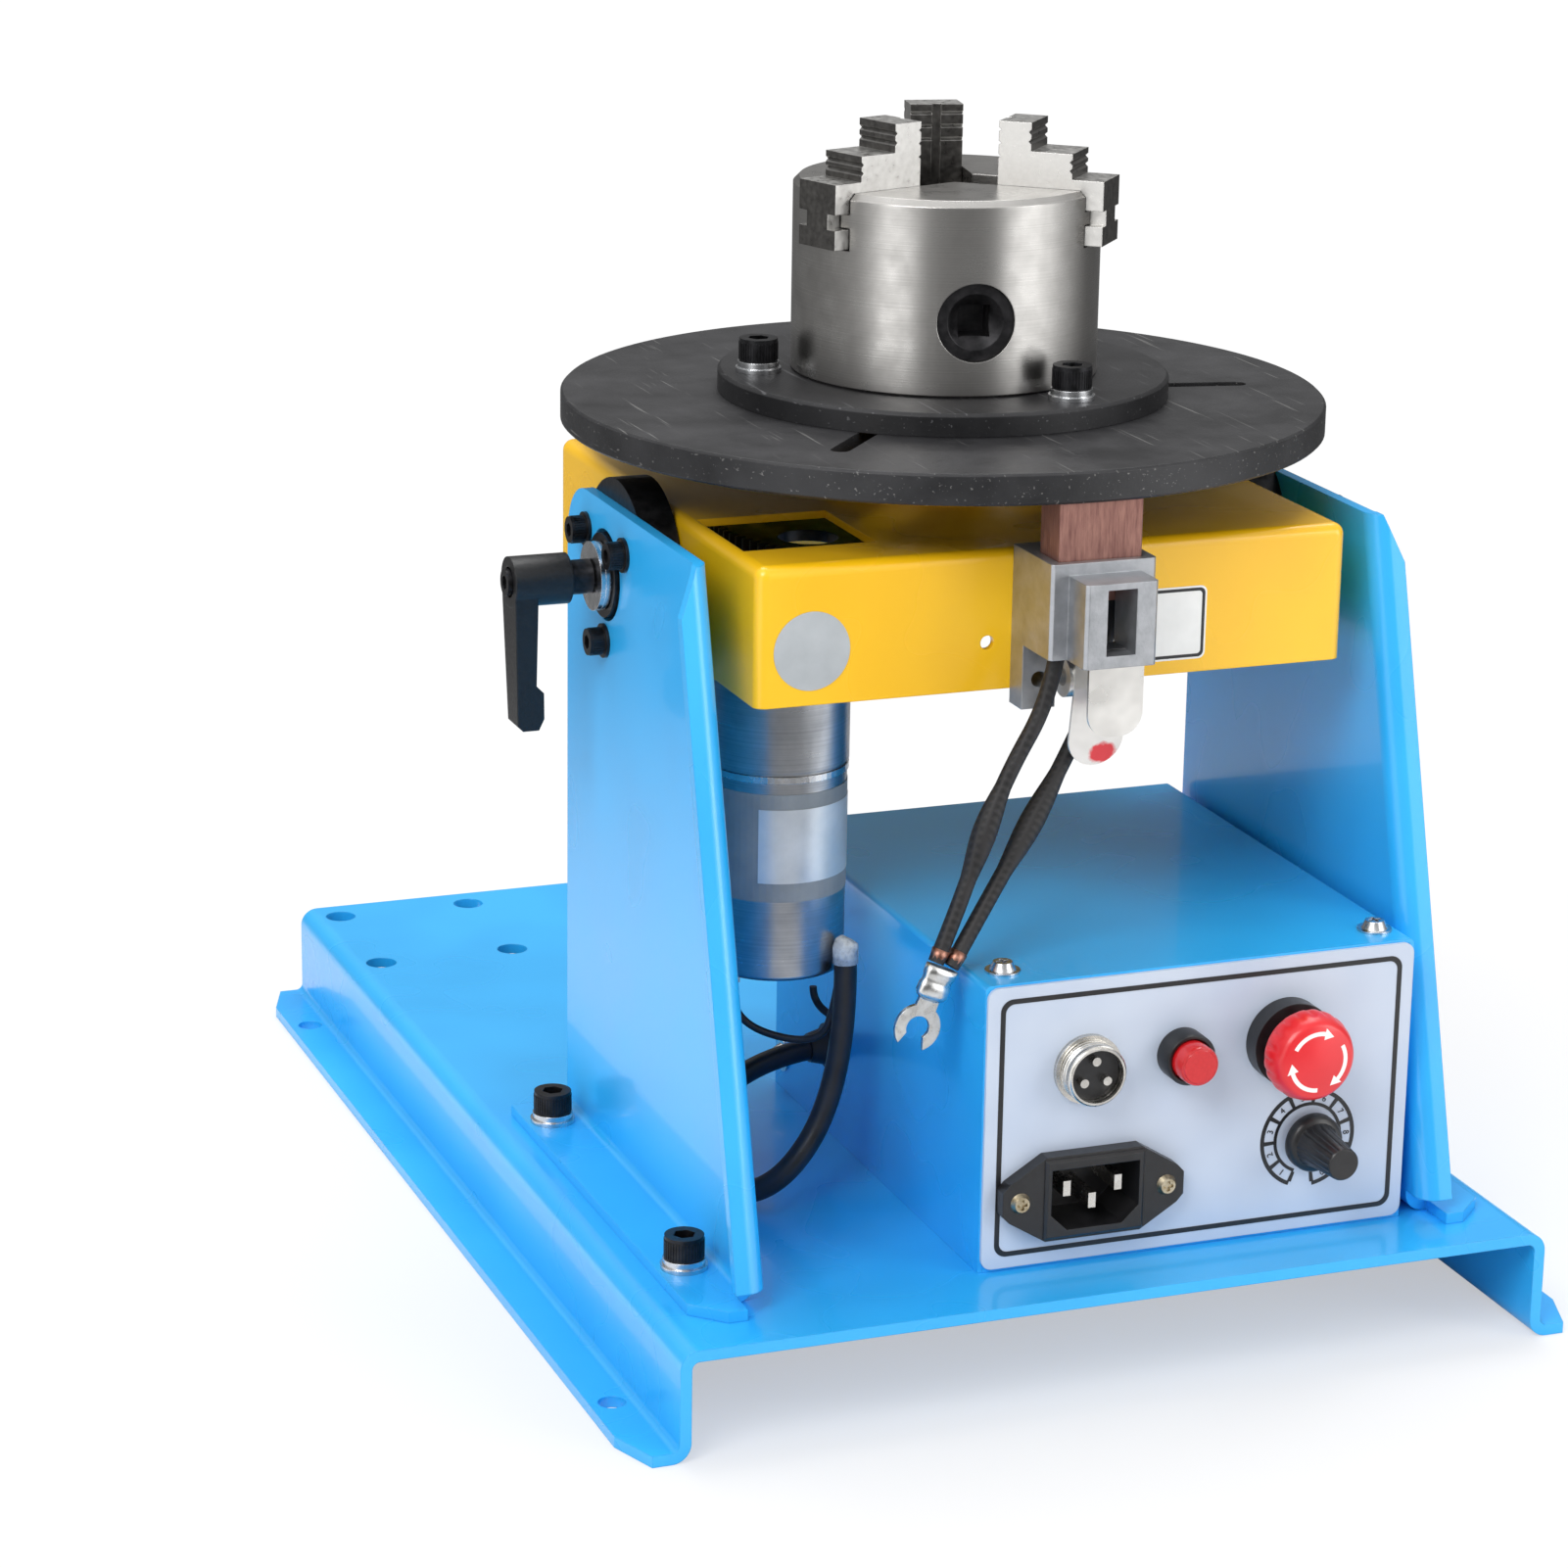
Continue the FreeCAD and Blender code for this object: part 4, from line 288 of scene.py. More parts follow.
cable_line = route_curve("motor_cable_line", [
    (-29, -52, 54), (-56, -52, 54), (-84, -68, 32.4), (-70, -106, 32.4), (-45, -99, 62), (-45.8, -97.3, 98)],
    6, rubber)
spine, cable_length = centre_line(cable_line)
motor_cable = shown("motor_cable_sheath", solid_of(cable_line))
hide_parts("motor_cable")
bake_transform(motor_cable)

# ---------------------------------------------------------------- brush leads
# Two copper leads of 4.2 mm in black woven sleeve run from the brush down to one fork lug. The sleeve
# swells over a joint half way, and bare copper shows where each lead enters the lug's barrel.
sleeve, tree, shader, at = finish_of("woven_sleeve", "#1F1D1E", 0.6)
strands = []
for turn in ((0.5, 0.45, 0.6), (-0.5, -0.45, 2.2)):
    slanted = add(tree, "ShaderNodeMapping", {0: at, "Rotation": turn})
    strands.append(add(tree, "ShaderNodeTexWave", {
        "Vector": slanted.outputs[0], "Scale": 1 / (0.8 * MM) / 6.3, "Distortion": 0.4},
        bands_direction="DIAGONAL").outputs["Fac"])
crossed = add(tree, "ShaderNodeMath", {0: strands[0], 1: strands[1]}, operation="MAXIMUM")
tree.links.new(blend_tones(tree, crossed.outputs[0], "#0A090A", "#232122"), shader.inputs["Base Color"])
relief(tree, shader, crossed.outputs[0], 0.12, 0.6)


def mottled(name, colour, roughness, metallic, cell_mm, low, high, dark, light, detail=4.0, bump=None,
            **more):
    """A material of one uneven finish; bump is the depth and strength of its relief, and its edge."""
    mat, tree, shader, at = finish_of(name, colour, roughness, metallic, **more)
    mask, _ = vary(tree, shader, at, cell_mm, low, high, dark, light, detail)
    if bump:
        relief(tree, shader, mask, *bump)
    return mat


bare_copper = mottled("bare_copper", "#A07463", 0.42, 1.0, 1.2, 0.3, 0.5, "#7C4E40", "#B98C7A")
tinned = mottled("tinned_copper", "#D2D2D0", 0.26, 1.0, 2.5, 0.22, 0.38, "#C6C6C4", "#E6E6E4", 2.0,
                 bump=(0.02, 0.5, 0.25))


def on_circle(u, v, radius, start, stop, steps):
    """Points of an arc about u, v, from one angle in degrees to another, both ends included."""
    angles = [math.radians(start + (stop - start) * k / steps) for k in range(steps + 1)]
    return [(u + radius * math.cos(a), v + radius * math.sin(a)) for a in angles]


def skinned(name, rings, ends=(True, True), smooth=True, crease=None):
    """A mesh over rings of points, with end caps where asked. The quads are shaded smooth, or with a
    crease, in radians, every face is and the edges bent further than that are sharp."""
    mesh = bpy.data.meshes.new(name)
    shell = bmesh.new()
    rows = [[shell.verts.new(p) for p in ring] for ring in rings]
    sides = len(rows[0])
    for one, two in zip(rows, rows[1:]):
        for k in range(sides):
            shell.faces.new((one[k], one[(k + 1) % sides], two[(k + 1) % sides], two[k]))
    for row, capped in zip((rows[0][::-1], rows[-1]), ends):
        if capped:
            shell.faces.new(row)
    bmesh.ops.remove_doubles(shell, verts=shell.verts, dist=0.0001 * MM)
    bmesh.ops.recalc_face_normals(shell, faces=shell.faces)
    if crease:
        for edge in shell.edges:
            edge.smooth = edge.calc_face_angle(0) < crease
    shell.to_mesh(mesh)
    shell.free()
    for face in mesh.polygons:
        face.use_smooth = bool(crease) or (smooth and len(face.vertices) == 4)
    return mesh


def frames_of(outer, inner, near, far):
    """Four-cornered rings between two lines of points in an X-Z plane, from near to far in Y."""
    return [[(a * MM, near, b * MM), (c * MM, near, d * MM), (c * MM, far, d * MM), (a * MM, far, b * MM)]
            for (a, b), (c, d) in zip(outer, inner)]


def flat_shape(name, outline, front_y, thick, material, hole=None):
    """A thin plate in an X-Z plane from an outline in millimetres, facing -Y, with an optional hole."""
    near, far = front_y * MM, (front_y + thick) * MM
    if hole:
        rings = frames_of(outline + outline[:1], hole + hole[:1], near, far)
        return shown(name, skinned(name, rings, ends=(False, False), smooth=False), material)
    rings = [[(x * MM, y, z * MM) for x, z in outline] for y in (near, far)]
    return shown(name, skinned(name, rings, smooth=False), material)


def joined(name, meshes, material):
    """Several meshes, each with its place, as one object at the origin."""
    shell = bmesh.new()
    for mesh, place in meshes:
        start = len(shell.verts)
        shell.from_mesh(mesh)
        shell.verts.ensure_lookup_table()
        bmesh.ops.transform(shell, matrix=place, verts=shell.verts[start:])
    whole = bpy.data.meshes.new(name)
    shell.to_mesh(whole)
    shell.free()
    return shown(name, whole, material)


# the lug: an open ring with pointed prongs and a crimped barrel, pressed from tinned copper sheet
lug_x, lug_y, lug_z = -45.2, -144.5, 92.4
lug_lean = math.radians(23.3)
lug_sheet = 1.2
ring_out, ring_in = 6.1, 3.1
neck_half, neck_top = 2.7, 8.4
barrel_sides = 24
# each step of the barrel: how far along the lug, half its width and half its depth
barrel_steps = ((7.4, 2.7, 0.7), (8.3, 3.9, 1.6), (9.2, 4.3, 2.2), (11.3, 4.3, 2.25), (12.0, 4.0, 1.8),
                (13.2, 4.0, 1.8), (13.9, 4.3, 2.2), (16.3, 4.4, 2.3))


def on_lug(across, along):
    """A point of the lug's own plane, as x and z; along points from the ring to the barrel."""
    return (lug_x + across * math.cos(lug_lean) + along * math.sin(lug_lean),
            lug_z - across * math.sin(lug_lean) + along * math.cos(lug_lean))


def squared(value, power):
    """A cosine or sine drawn out towards 1, which makes a circle squarer."""
    return math.copysign(abs(value) ** power, value)


prongs = (on_circle(0, 0, ring_out, -54, 62, 16) + [(neck_half, neck_top), (-neck_half, neck_top)]
          + on_circle(0, 0, ring_out, 118, 234, 16) + on_circle(0, 0, ring_in, 218, -38, 26))
fork = flat_shape("fork", [on_lug(across, along) for across, along in prongs], lug_y - lug_sheet / 2,
                  lug_sheet, tinned)
rings = []
for along, half_wide, half_deep in barrel_steps:
    ring = []
    for k in range(barrel_sides):
        a = 2 * math.pi * k / barrel_sides
        x, z = on_lug(half_wide * squared(math.cos(a), 0.7), along)
        ring.append((x * MM, (lug_y + half_deep * squared(math.sin(a), 0.8)) * MM, z * MM))
    rings.append(ring)
fork_lug = joined("fork_lug_pressing", [(fork.data, Matrix.Identity(4)),
                                        (skinned("barrel", rings), Matrix.Identity(4))], tinned)
bpy.data.objects.remove(fork)
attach(fork_lug, "tilt")
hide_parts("fork_lug")


def tube_along(name, line, radius_at, material, sides=20):
    """A closed tube over a centre line; radius_at takes 0 to 1 along it and gives millimetres."""
    last = len(line) - 1
    rings = []
    for i, p in enumerate(line):
        heading = (line[min(i + 1, last)] - line[max(i - 1, 0)]).normalized()
        side = heading.cross(Vector((0, 1, 0))).normalized()
        other = heading.cross(side).normalized()
        r = radius_at(i / last) * MM
        angles = [2 * math.pi * k / sides for k in range(sides)]
        rings.append([p + side * (math.cos(a) * r) + other * (math.sin(a) * r) for a in angles])
    return shown(name, skinned(name, rings), material)


lead_wide = 4.2
leads = []
for piece, node, points in (
        ("front_lead", "brush_lead_front", [
            (-7.2, -139.6, 196.5), (-7.8, -139.6, 176), (-23.4, -141, 151), (-33.5, -142.5, 123),
            (-40.5, -144.4, 108.8)]),
        ("rear_lead", "brush_lead_rear", [
            (8.5, -133, 196.5), (7.8, -132.6, 176), (0.5, -131.5, 158), (-12.2, -136, 139.7),
            (-25.8, -141, 122), (-36.4, -144.4, 107.3)])):
    lead_line = route_curve(piece + "_line", points, lead_wide, sleeve)
    line, length = centre_line(lead_line)
    lead = shown(piece + "_sleeve", solid_of(lead_line))
    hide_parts(node)
    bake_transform(lead)
    leads.append((piece, line))

swell_top, swell_low = 0.153, 0.127                # heights between which the sleeve covers a joint
sleeve_r, swell_r = 2.0, 1.15                      # its radius, and what the joint adds
strand_r, strand_taper = 2.3, 0.3                  # bare copper, which narrows into the barrel
for piece, line in leads:
    first_swell = next(i for i, p in enumerate(line) if p.z < swell_top)
    last_swell = next(i for i, p in enumerate(line) if p.z < swell_low)
    joint = tube_along(piece + "_joint", line[first_swell:max(last_swell, first_swell + 4)],
                       lambda t: sleeve_r + swell_r * math.sin(math.pi * t) ** 1.5, sleeve)
    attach(joint, "tilt")
    bare = tube_along(piece + "_strands", line[-3:], lambda t: strand_r - strand_taper * t, bare_copper, 12)
    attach(bare, "tilt")


# ---------------------------------------------------------------- painted steel sheet
# Folded 3 mm and 2 mm steel sheet, powder coated in one gloss coat: blue on what stands still and
# yellow on what tilts. The coat flows into a faint orange peel.
def powder_coat(name, dark, light):
    mat, tree, shader, at = finish_of(name, light, 0.25, Coat_Weight=0.35, Coat_Roughness=0.06)
    vary(tree, shader, at, 60, 0.24, 0.33, dark, light, 2.0)
    relief(tree, shader, noise_of(tree, at, 1.8, 1.0).outputs[0], 0.04, 0.3, 0.5)
    return mat


dress_nodes(powder_coat("blue_powder_coat", "#28ABF0", "#30B6FB"),
            "base_plate bracket_right bracket_left box_chassis box_cover")
dress_nodes(powder_coat("yellow_powder_coat", "#F3B90C", "#FBC616"),
            "tilt_housing motor_bracket bearing_cup")

# ---------------------------------------------------------------- table, flange and gear
# The table and the chuck flange are turned steel plates, blackened and oiled. Turning leaves fine
# rings, handling leaves pale hairline scratches, and dust gathers on the rim.
axle_y = -43.5                                     # the spindle's axis, which the tilt axis crosses


def from_axis(tree, at):
    """Distance from the spindle's axis, height, and place from that axis, of the shaded point."""
    moved = add(tree, "ShaderNodeMapping", {0: at, "Location": (0, -axle_y * MM, 0)})
    split = add(tree, "ShaderNodeSeparateXYZ", {0: moved.outputs[0]})
    flat = add(tree, "ShaderNodeCombineXYZ", {0: split.outputs[0], 1: split.outputs[1]})
    reach = add(tree, "ShaderNodeVectorMath", {0: flat.outputs[0]}, operation="LENGTH")
    return reach.outputs["Value"], split.outputs["Z"], moved.outputs[0]


def ridges(tree, distance, pitch_mm):
    """Fine waves of a real pitch along a distance."""
    turns = add(tree, "ShaderNodeMath", {0: distance, 1: 2 * math.pi / (pitch_mm * MM)},
                operation="MULTIPLY")
    return add(tree, "ShaderNodeMath", {0: turns.outputs[0]}, operation="SINE").outputs[0]


def blackened_plate(name, dark, light, scratch):
    mat, tree, shader, at = finish_of(name, dark, 0.5, 0.35)
    reach, _, _ = from_axis(tree, at)
    _, tone = vary(tree, shader, at, 22, 0.36, 0.56, dark, light, 6.0)
    hair = add(tree, "ShaderNodeMapping", {0: at, "Rotation": (0, 0, 0.7), "Scale": (1, 0.03, 1)})
    lines = noise_of(tree, hair.outputs[0], 0.9, 1.0)
    thin = add(tree, "ShaderNodeMapRange", {0: lines.outputs[0], 1: 0.70, 2: 0.76, 3: 0.0, 4: 0.5})
    specks = noise_of(tree, at, 0.8, 3.0)
    dot = add(tree, "ShaderNodeMapRange", {0: specks.outputs[0], 1: 0.68, 2: 0.74, 3: 0.0, 4: 0.6})
    rim = add(tree, "ShaderNodeMapRange", {0: reach, 1: 0.0985, 2: 0.0998, 3: 0.25, 4: 1.0})
    dot = add(tree, "ShaderNodeMath", {0: dot.outputs[0], 1: rim.outputs[0]}, operation="MULTIPLY")
    worn = add(tree, "ShaderNodeMath", {0: thin.outputs[0], 1: dot.outputs[0]}, operation="MAXIMUM")
    tree.links.new(blend_tones(tree, worn.outputs[0], tone, scratch), shader.inputs["Base Color"])
    rough = add(tree, "ShaderNodeMath", {0: ridges(tree, reach, 1.1), 1: 0.25, 2: specks.outputs[0]},
                operation="MULTIPLY_ADD")
    relief(tree, shader, rough.outputs[0], 0.06, 0.5, 0.4)
    return mat


dress_nodes(blackened_plate("oiled_black_table", "#232325", "#39393B", "#8D8C8A"), "table")
dress_nodes(blackened_plate("oiled_black_flange", "#1D1D1F", "#2F2F31", "#77777A"), "chuck_flange")


# ---------------------------------------------------------------- chuck, jaws and spindle
# The chuck's body is turned and ground steel, bright with very fine rings. Its jaws are ground flat
# on the sides, with the outward faces of their steps darker. Key pinions and scroll are hardened and
# blackened.
def turned_steel(name, dark, light, ring_mm, low=0.24, high=0.36):
    mat, tree, shader, at = finish_of(name, light, 0.3, 1.0)
    reach, height, _ = from_axis(tree, at)
    facing = add(tree, "ShaderNodeNewGeometry")
    normal = add(tree, "ShaderNodeSeparateXYZ", {0: facing.outputs["Normal"]})
    flat = add(tree, "ShaderNodeMath", {0: normal.outputs["Z"]}, operation="ABSOLUTE")
    flat = add(tree, "ShaderNodeMath", {0: flat.outputs[0], 1: 0.6}, operation="GREATER_THAN")
    along_cut = add(tree, "ShaderNodeMix", {0: flat.outputs[0], 2: height, 3: reach})
    lines = add(tree, "ShaderNodeTexNoise", {"W": along_cut.outputs[0], "Scale": 1 / (ring_mm * MM),
                                             "Detail": 2.0, "Roughness": 0.7}, noise_dimensions="1D")
    cloud = noise_of(tree, at, 7, 7.0)
    both = add(tree, "ShaderNodeMix", {0: 0.6, 2: lines.outputs[0], 3: cloud.outputs[0]})
    tone = add(tree, "ShaderNodeMapRange", {0: both.outputs[0], 1: 0.3, 2: 0.7, 3: 0.0, 4: 1.0})
    tree.links.new(blend_tones(tree, tone.outputs[0], dark, light), shader.inputs["Base Color"])
    gloss = add(tree, "ShaderNodeMapRange", {0: tone.outputs[0], 1: 0.0, 2: 1.0, 3: high, 4: low})
    tree.links.new(gloss.outputs[0], shader.inputs["Roughness"])
    relief(tree, shader, lines.outputs[0], 0.003, 0.5, 0.35)
    return mat


dress_nodes(turned_steel("ground_chuck_steel", "#A3A19E", "#C6C4C1", 0.35), "chuck_body")
dress_nodes(turned_steel("turned_steel", "#949495", "#C0C0C0", 0.5),
            "spindle spindle_bearings trunnions motor_pinion speed_pot")

jaw_steel, tree, shader, at = finish_of("ground_jaw_steel", "#C4C3C0", 0.3, 1.0)
_, _, moved = from_axis(tree, at)
outward = add(tree, "ShaderNodeVectorMath", {0: moved, 1: (1, 1, 0)}, operation="MULTIPLY")
outward = add(tree, "ShaderNodeVectorMath", {0: outward.outputs[0]}, operation="NORMALIZE")
facing = add(tree, "ShaderNodeNewGeometry")
level = add(tree, "ShaderNodeVectorMath", {0: facing.outputs["True Normal"], 1: outward.outputs[0]},
            operation="DOT_PRODUCT")
level = add(tree, "ShaderNodeMath", {0: level.outputs["Value"]}, operation="ABSOLUTE")
stepped = add(tree, "ShaderNodeMapRange", {0: level.outputs[0], 1: 0.45, 2: 0.75, 3: 0.0, 4: 1.0})
grain = noise_of(tree, at, 1.6, 6.0)
ground = blend_tones(tree, grain.outputs[0], "#B3B1AE", "#DAD9D6")
# the faces of the steps that look out from the spindle's axis take this darker tone
riser_tone = blend_tones(tree, grain.outputs[0], "#4E4C4A", "#8A8885")
tree.links.new(blend_tones(tree, stepped.outputs[0], ground, riser_tone), shader.inputs["Base Color"])
gloss = add(tree, "ShaderNodeMapRange", {0: grain.outputs[0], 1: 0.3, 2: 0.7, 3: 0.26, 4: 0.42})
tree.links.new(gloss.outputs[0], shader.inputs["Roughness"])
relief(tree, shader, grain.outputs[0], 0.02, 0.4, 0.3)
dress_nodes(jaw_steel, "jaw_1 jaw_2 jaw_3")
dress_nodes(mottled("hardened_black_steel", "#2A2A2C", 0.38, 0.75, 4, 0.3, 0.5, "#1E1E20", "#3C3B3D",
                    bump=(0.03, 0.5, 0.35)), "key_pinion_1 key_pinion_2 key_pinion_3 scroll drive_gear")

# ---------------------------------------------------------------- screws and washers
# Socket cap screws of blackened alloy steel on bright zinc washers. Each head carries a knurl of
# straight ridges round its side, rolled in when the head is forged.
black_screw = mottled("blackened_screw_steel", "#222224", 0.36, 0.7, 2.5, 0.28, 0.46, "#18181A", "#323235",
                      bump=(0.02, 0.4, 0.25))
dress_nodes(black_screw, "bracket_bolts pivot_screws flange_bolts pivot_hubs lever_core_right "
            "lever_core_left")
zinc = mottled("bright_zinc_plate", "#C9CBCE", 0.26, 1.0, 3, 0.2, 0.3, "#C2C4C7", "#DADBDD", 2.0,
               bump=(0.004, 0.3, 0.25))
dress_nodes(zinc, "bracket_washers clamp_washers flange_washers box_screws")

ridge_deep, ridge_wide = 0.28, 0.42
knurl_tree = bpy.data.node_groups.new("knurled_head", "GeometryNodeTree")
for socket, kind, value in (
        ("Geometry", "NodeSocketGeometry", None), ("Head radius", "NodeSocketFloat", 0.005),
        ("Head height", "NodeSocketFloat", 0.006), ("Ridges", "NodeSocketInt", 40),
        ("Steel", "NodeSocketMaterial", None)):
    made = knurl_tree.interface.new_socket(socket, in_out="INPUT", socket_type=kind)
    if value is not None:
        made.default_value = value
knurl_tree.interface.new_socket("Geometry", in_out="OUTPUT", socket_type="NodeSocketGeometry")
given = add(knurl_tree, "NodeGroupInput")
circle = add(knurl_tree, "GeometryNodeMeshCircle", {"Vertices": given.outputs["Ridges"],
                                                    "Radius": given.outputs["Head radius"]})
size = add(knurl_tree, "ShaderNodeCombineXYZ", {0: ridge_deep * MM, 1: ridge_wide * MM,
                                                2: given.outputs["Head height"]})
ridge = add(knurl_tree, "GeometryNodeMeshCube", {"Size": size.outputs[0]})
spot = add(knurl_tree, "GeometryNodeInputPosition")
facing = add(knurl_tree, "FunctionNodeAlignRotationToVector", {"Vector": spot.outputs[0]}, axis="X")
spread = add(knurl_tree, "GeometryNodeInstanceOnPoints", {
    "Points": circle.outputs[0], "Instance": ridge.outputs[0], "Rotation": facing.outputs[0]})
real = add(knurl_tree, "GeometryNodeRealizeInstances", {0: spread.outputs[0]})
coated = add(knurl_tree, "GeometryNodeSetMaterial", {0: real.outputs[0], "Material": given.outputs["Steel"]})
add(knurl_tree, "NodeGroupOutput", {0: coated.outputs[0]})


def knurl(radius, height, count):
    """One knurl of the given head, as a plain mesh about its own axis."""
    seed = shown("knurl", bpy.data.meshes.new("knurl"))
    grow = seed.modifiers.new("knurl", "NODES")
    grow.node_group = knurl_tree
    keys = {item.name: item.identifier for item in knurl_tree.interface.items_tree if item.in_out == "INPUT"}
    for socket, value in (("Head radius", radius * MM), ("Head height", height * MM), ("Ridges", count),
                          ("Steel", black_screw)):
        grow[keys[socket]] = value
    return solid_of(seed)


def at_mm(x, y, z, turn=Matrix.Identity(4)):
    """A place in millimetres, with a turn before it if one is given."""
    return Matrix.Translation((x * MM, y * MM, z * MM)) @ turn


washers_thick = 1.2 + 1.6                          # a flat washer and a spring ring under each M6 head
m6_mid, m4_mid = 2.7, 1.9                          # middle of the knurl above the head's seat
bolt_x = 102
bolt_ys = (-134, -27.5)
bolt_seat = 29 + 3 + washers_thick                 # the base's top and the bracket's foot
pivot_seat, pivot_z, pivot_ring = 93.9, 187, 17.5
flange_top, flange_ring, chuck_turn = 236, 49, -11
m6_knurl = knurl(5.0, 4.6, 40)
m4_knurl = knurl(3.5, 3.0, 32)
sideways = Matrix.Rotation(math.pi / 2, 4, "Y")
bolt_heads = [(m6_knurl, at_mm(bolt_x * side, y, bolt_seat + m6_mid)) for side in (1, -1) for y in bolt_ys]
pivot_heads = [(m4_knurl, at_mm((pivot_seat + m4_mid) * side, y, z, sideways)) for side in (1, -1)
               for y, z in on_circle(axle_y, pivot_z, pivot_ring, 30, 270, 2)]
flange_heads = [(m6_knurl, at_mm(x, y, flange_top + washers_thick + m6_mid))
                for x, y in on_circle(0, axle_y, flange_ring, chuck_turn + 60, chuck_turn + 300, 2)]
for name, heads, body in (("bracket_bolt_knurls", bolt_heads, "frame"),
                          ("pivot_screw_knurls", pivot_heads, "frame"),
                          ("flange_bolt_knurls", flange_heads, "spindle")):
    knurls = joined(name, heads, black_screw)
    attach(knurls, body)

# ---------------------------------------------------------------- clamp levers
# Ratchet levers of glass-filled nylon, matt black with a fine moulded grain.
dress_nodes(mottled("moulded_black_nylon", "#111113", 0.4, 0.0, 0.9, 0.36, 0.48, "#0E0E10", "#191A1C",
                    bump=(0.05, 0.5, 0.6)), "lever_handle_right lever_handle_left")

# ---------------------------------------------------------------- gear motor
# A zinc-plated steel can and gearbox, spun bright. Round the can are a bright crimp ring, a plain grey
# band and a bare foil label.
dress_nodes(turned_steel("plated_motor_steel", "#9A9CA0", "#BBBDC1", 0.6, low=0.26, high=0.36),
            "motor_gearbox motor_can")
grey_band = mottled("grey_rolled_band", "#9DA1A4", 0.5, 0.3, 12, 0.42, 0.6, "#83898E", "#989DA1")
silver_foil = mottled("silver_foil_label", "#C3C8CC", 0.35, 0.5, 10, 0.28, 0.42, "#CDD2D7", "#DFE3E7")
can_x, can_y, can_r = -58.8, -80.3, 18.02
cover_thick = 0.12


def band(name, radius, low, high, start, sweep, material):
    """Part of a thin sleeve round the motor, closed, with its inner face just on the can."""
    inner = on_circle(can_x, can_y, radius, start, start + sweep, 64)
    outer = on_circle(can_x, can_y, radius + cover_thick, start, start + sweep, 64)
    rings = [[(a * MM, b * MM, low * MM), (c * MM, d * MM, low * MM), (c * MM, d * MM, high * MM),
              (a * MM, b * MM, high * MM)] for (a, b), (c, d) in zip(inner, outer)]
    open_ends = abs(sweep) < 360
    return shown(name, skinned(name, rings, ends=(open_ends, open_ends), smooth=False), material)


for name, low, high, start, sweep, cover, over in (
        ("motor_crimp_ring", 143.4, 145.2, 0, 360, zinc, 0.25),
        ("motor_magnet_band", 112, 140.5, 0, 360, grey_band, 0.0),
        ("motor_blank_label", 117, 136.5, -125, 150, silver_foil, cover_thick)):
    strip = band(name, can_r + over, low, high, start, sweep, cover)
    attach(strip, "tilt")

# ---------------------------------------------------------------- brush block and brush
# The block is a sand-cast aluminium alloy, grey and grainy. The brush is pressed copper-graphite,
# worn bright on its edges, held up by a rolled spring strip with a rounded, red-painted tail.
cast, tree, shader, at = finish_of("cast_aluminium", "#A3A6AA", 0.42, 0.85)
vary(tree, shader, at, 5, 0.34, 0.5, "#9DA0A4", "#B9BBBF", 8.0)
relief(tree, shader, noise_of(tree, at, 0.8, 3.0).outputs[0], 0.08, 0.5, 0.4)
dress_nodes(cast, "brush_block")
dress_nodes(mottled("rolled_spring_strip", "#E2E0DC", 0.3, 0.9, 9, 0.26, 0.38, "#DAD8D4", "#F0EEEA", 2.0),
            "brush_clip")

tail_x, tail_half, tail_low = 3.4, 7.35, 153.7
dab_x, dab_y, dab_z = tail_x + 2, -138, tail_low + 3    # middle of the red paint
keep_half, keep_top = 14, 200                      # of the shape that the strip is cut to
painted, tree, shader, at = finish_of("painted_spring_strip", "#E2E0DC", 0.3, 0.9)
_, tone = vary(tree, shader, at, 9, 0.26, 0.38, "#DAD8D4", "#F0EEEA", 2.0)
off = add(tree, "ShaderNodeVectorMath", {0: at, 1: (dab_x * MM, dab_y * MM, dab_z * MM)},
          operation="SUBTRACT")
off = add(tree, "ShaderNodeVectorMath", {0: off.outputs[0], 1: (1, 0, 1.3)}, operation="MULTIPLY")
off = add(tree, "ShaderNodeVectorMath", {0: off.outputs[0]}, operation="LENGTH")
edge = noise_of(tree, at, 2.5, 3.0)
edge = add(tree, "ShaderNodeMath", {0: edge.outputs[0], 1: -3.5 * MM, 2: off.outputs["Value"]},
           operation="MULTIPLY_ADD")
dab = add(tree, "ShaderNodeMapRange", {0: edge.outputs[0], 1: 1.0 * MM, 2: 2.2 * MM, 3: 1.0, 4: 0.0})
tree.links.new(blend_tones(tree, dab.outputs[0], tone, "#D2343C"), shader.inputs["Base Color"])
bare_metal = add(tree, "ShaderNodeMapRange", {0: dab.outputs[0], 1: 0.0, 2: 1.0, 3: 0.9, 4: 0.0})
tree.links.new(bare_metal.outputs[0], shader.inputs["Metallic"])

strip_place = parts["brush_spring"].matrix_world.copy()
keep = flat_shape("keep", on_circle(tail_x, tail_low + tail_half, tail_half, 180, 360, 24)
                  + [(tail_x + keep_half, keep_top), (tail_x - keep_half, keep_top)], -160, 45, painted)
strip = shown("spring_strip_cut", parts["brush_spring"].data.copy(), painted)
strip.matrix_world = strip_place
cut = strip.modifiers.new("round_tail", "BOOLEAN")
cut.operation = "INTERSECT"
cut.solver = "EXACT"
cut.object = keep
rounded = solid_of(strip)
rounded.transform(strip_place)
bpy.data.objects.remove(keep)
strip = shown("spring_strip", rounded, painted)
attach(strip, "tilt")
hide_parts("brush_spring")

copper, tree, shader, at = finish_of("pressed_copper_graphite", "#8B6259", 0.5, 0.55)
grain = add(tree, "ShaderNodeMapping", {0: at, "Scale": (1, 1, 0.12)})
mask, _ = vary(tree, shader, grain.outputs[0], 0.8, 0.4, 0.6, "#77504A", "#A57A6E", 5.0)
relief(tree, shader, mask, 0.05, 0.5, 0.3)
dress_nodes(copper, "brush")


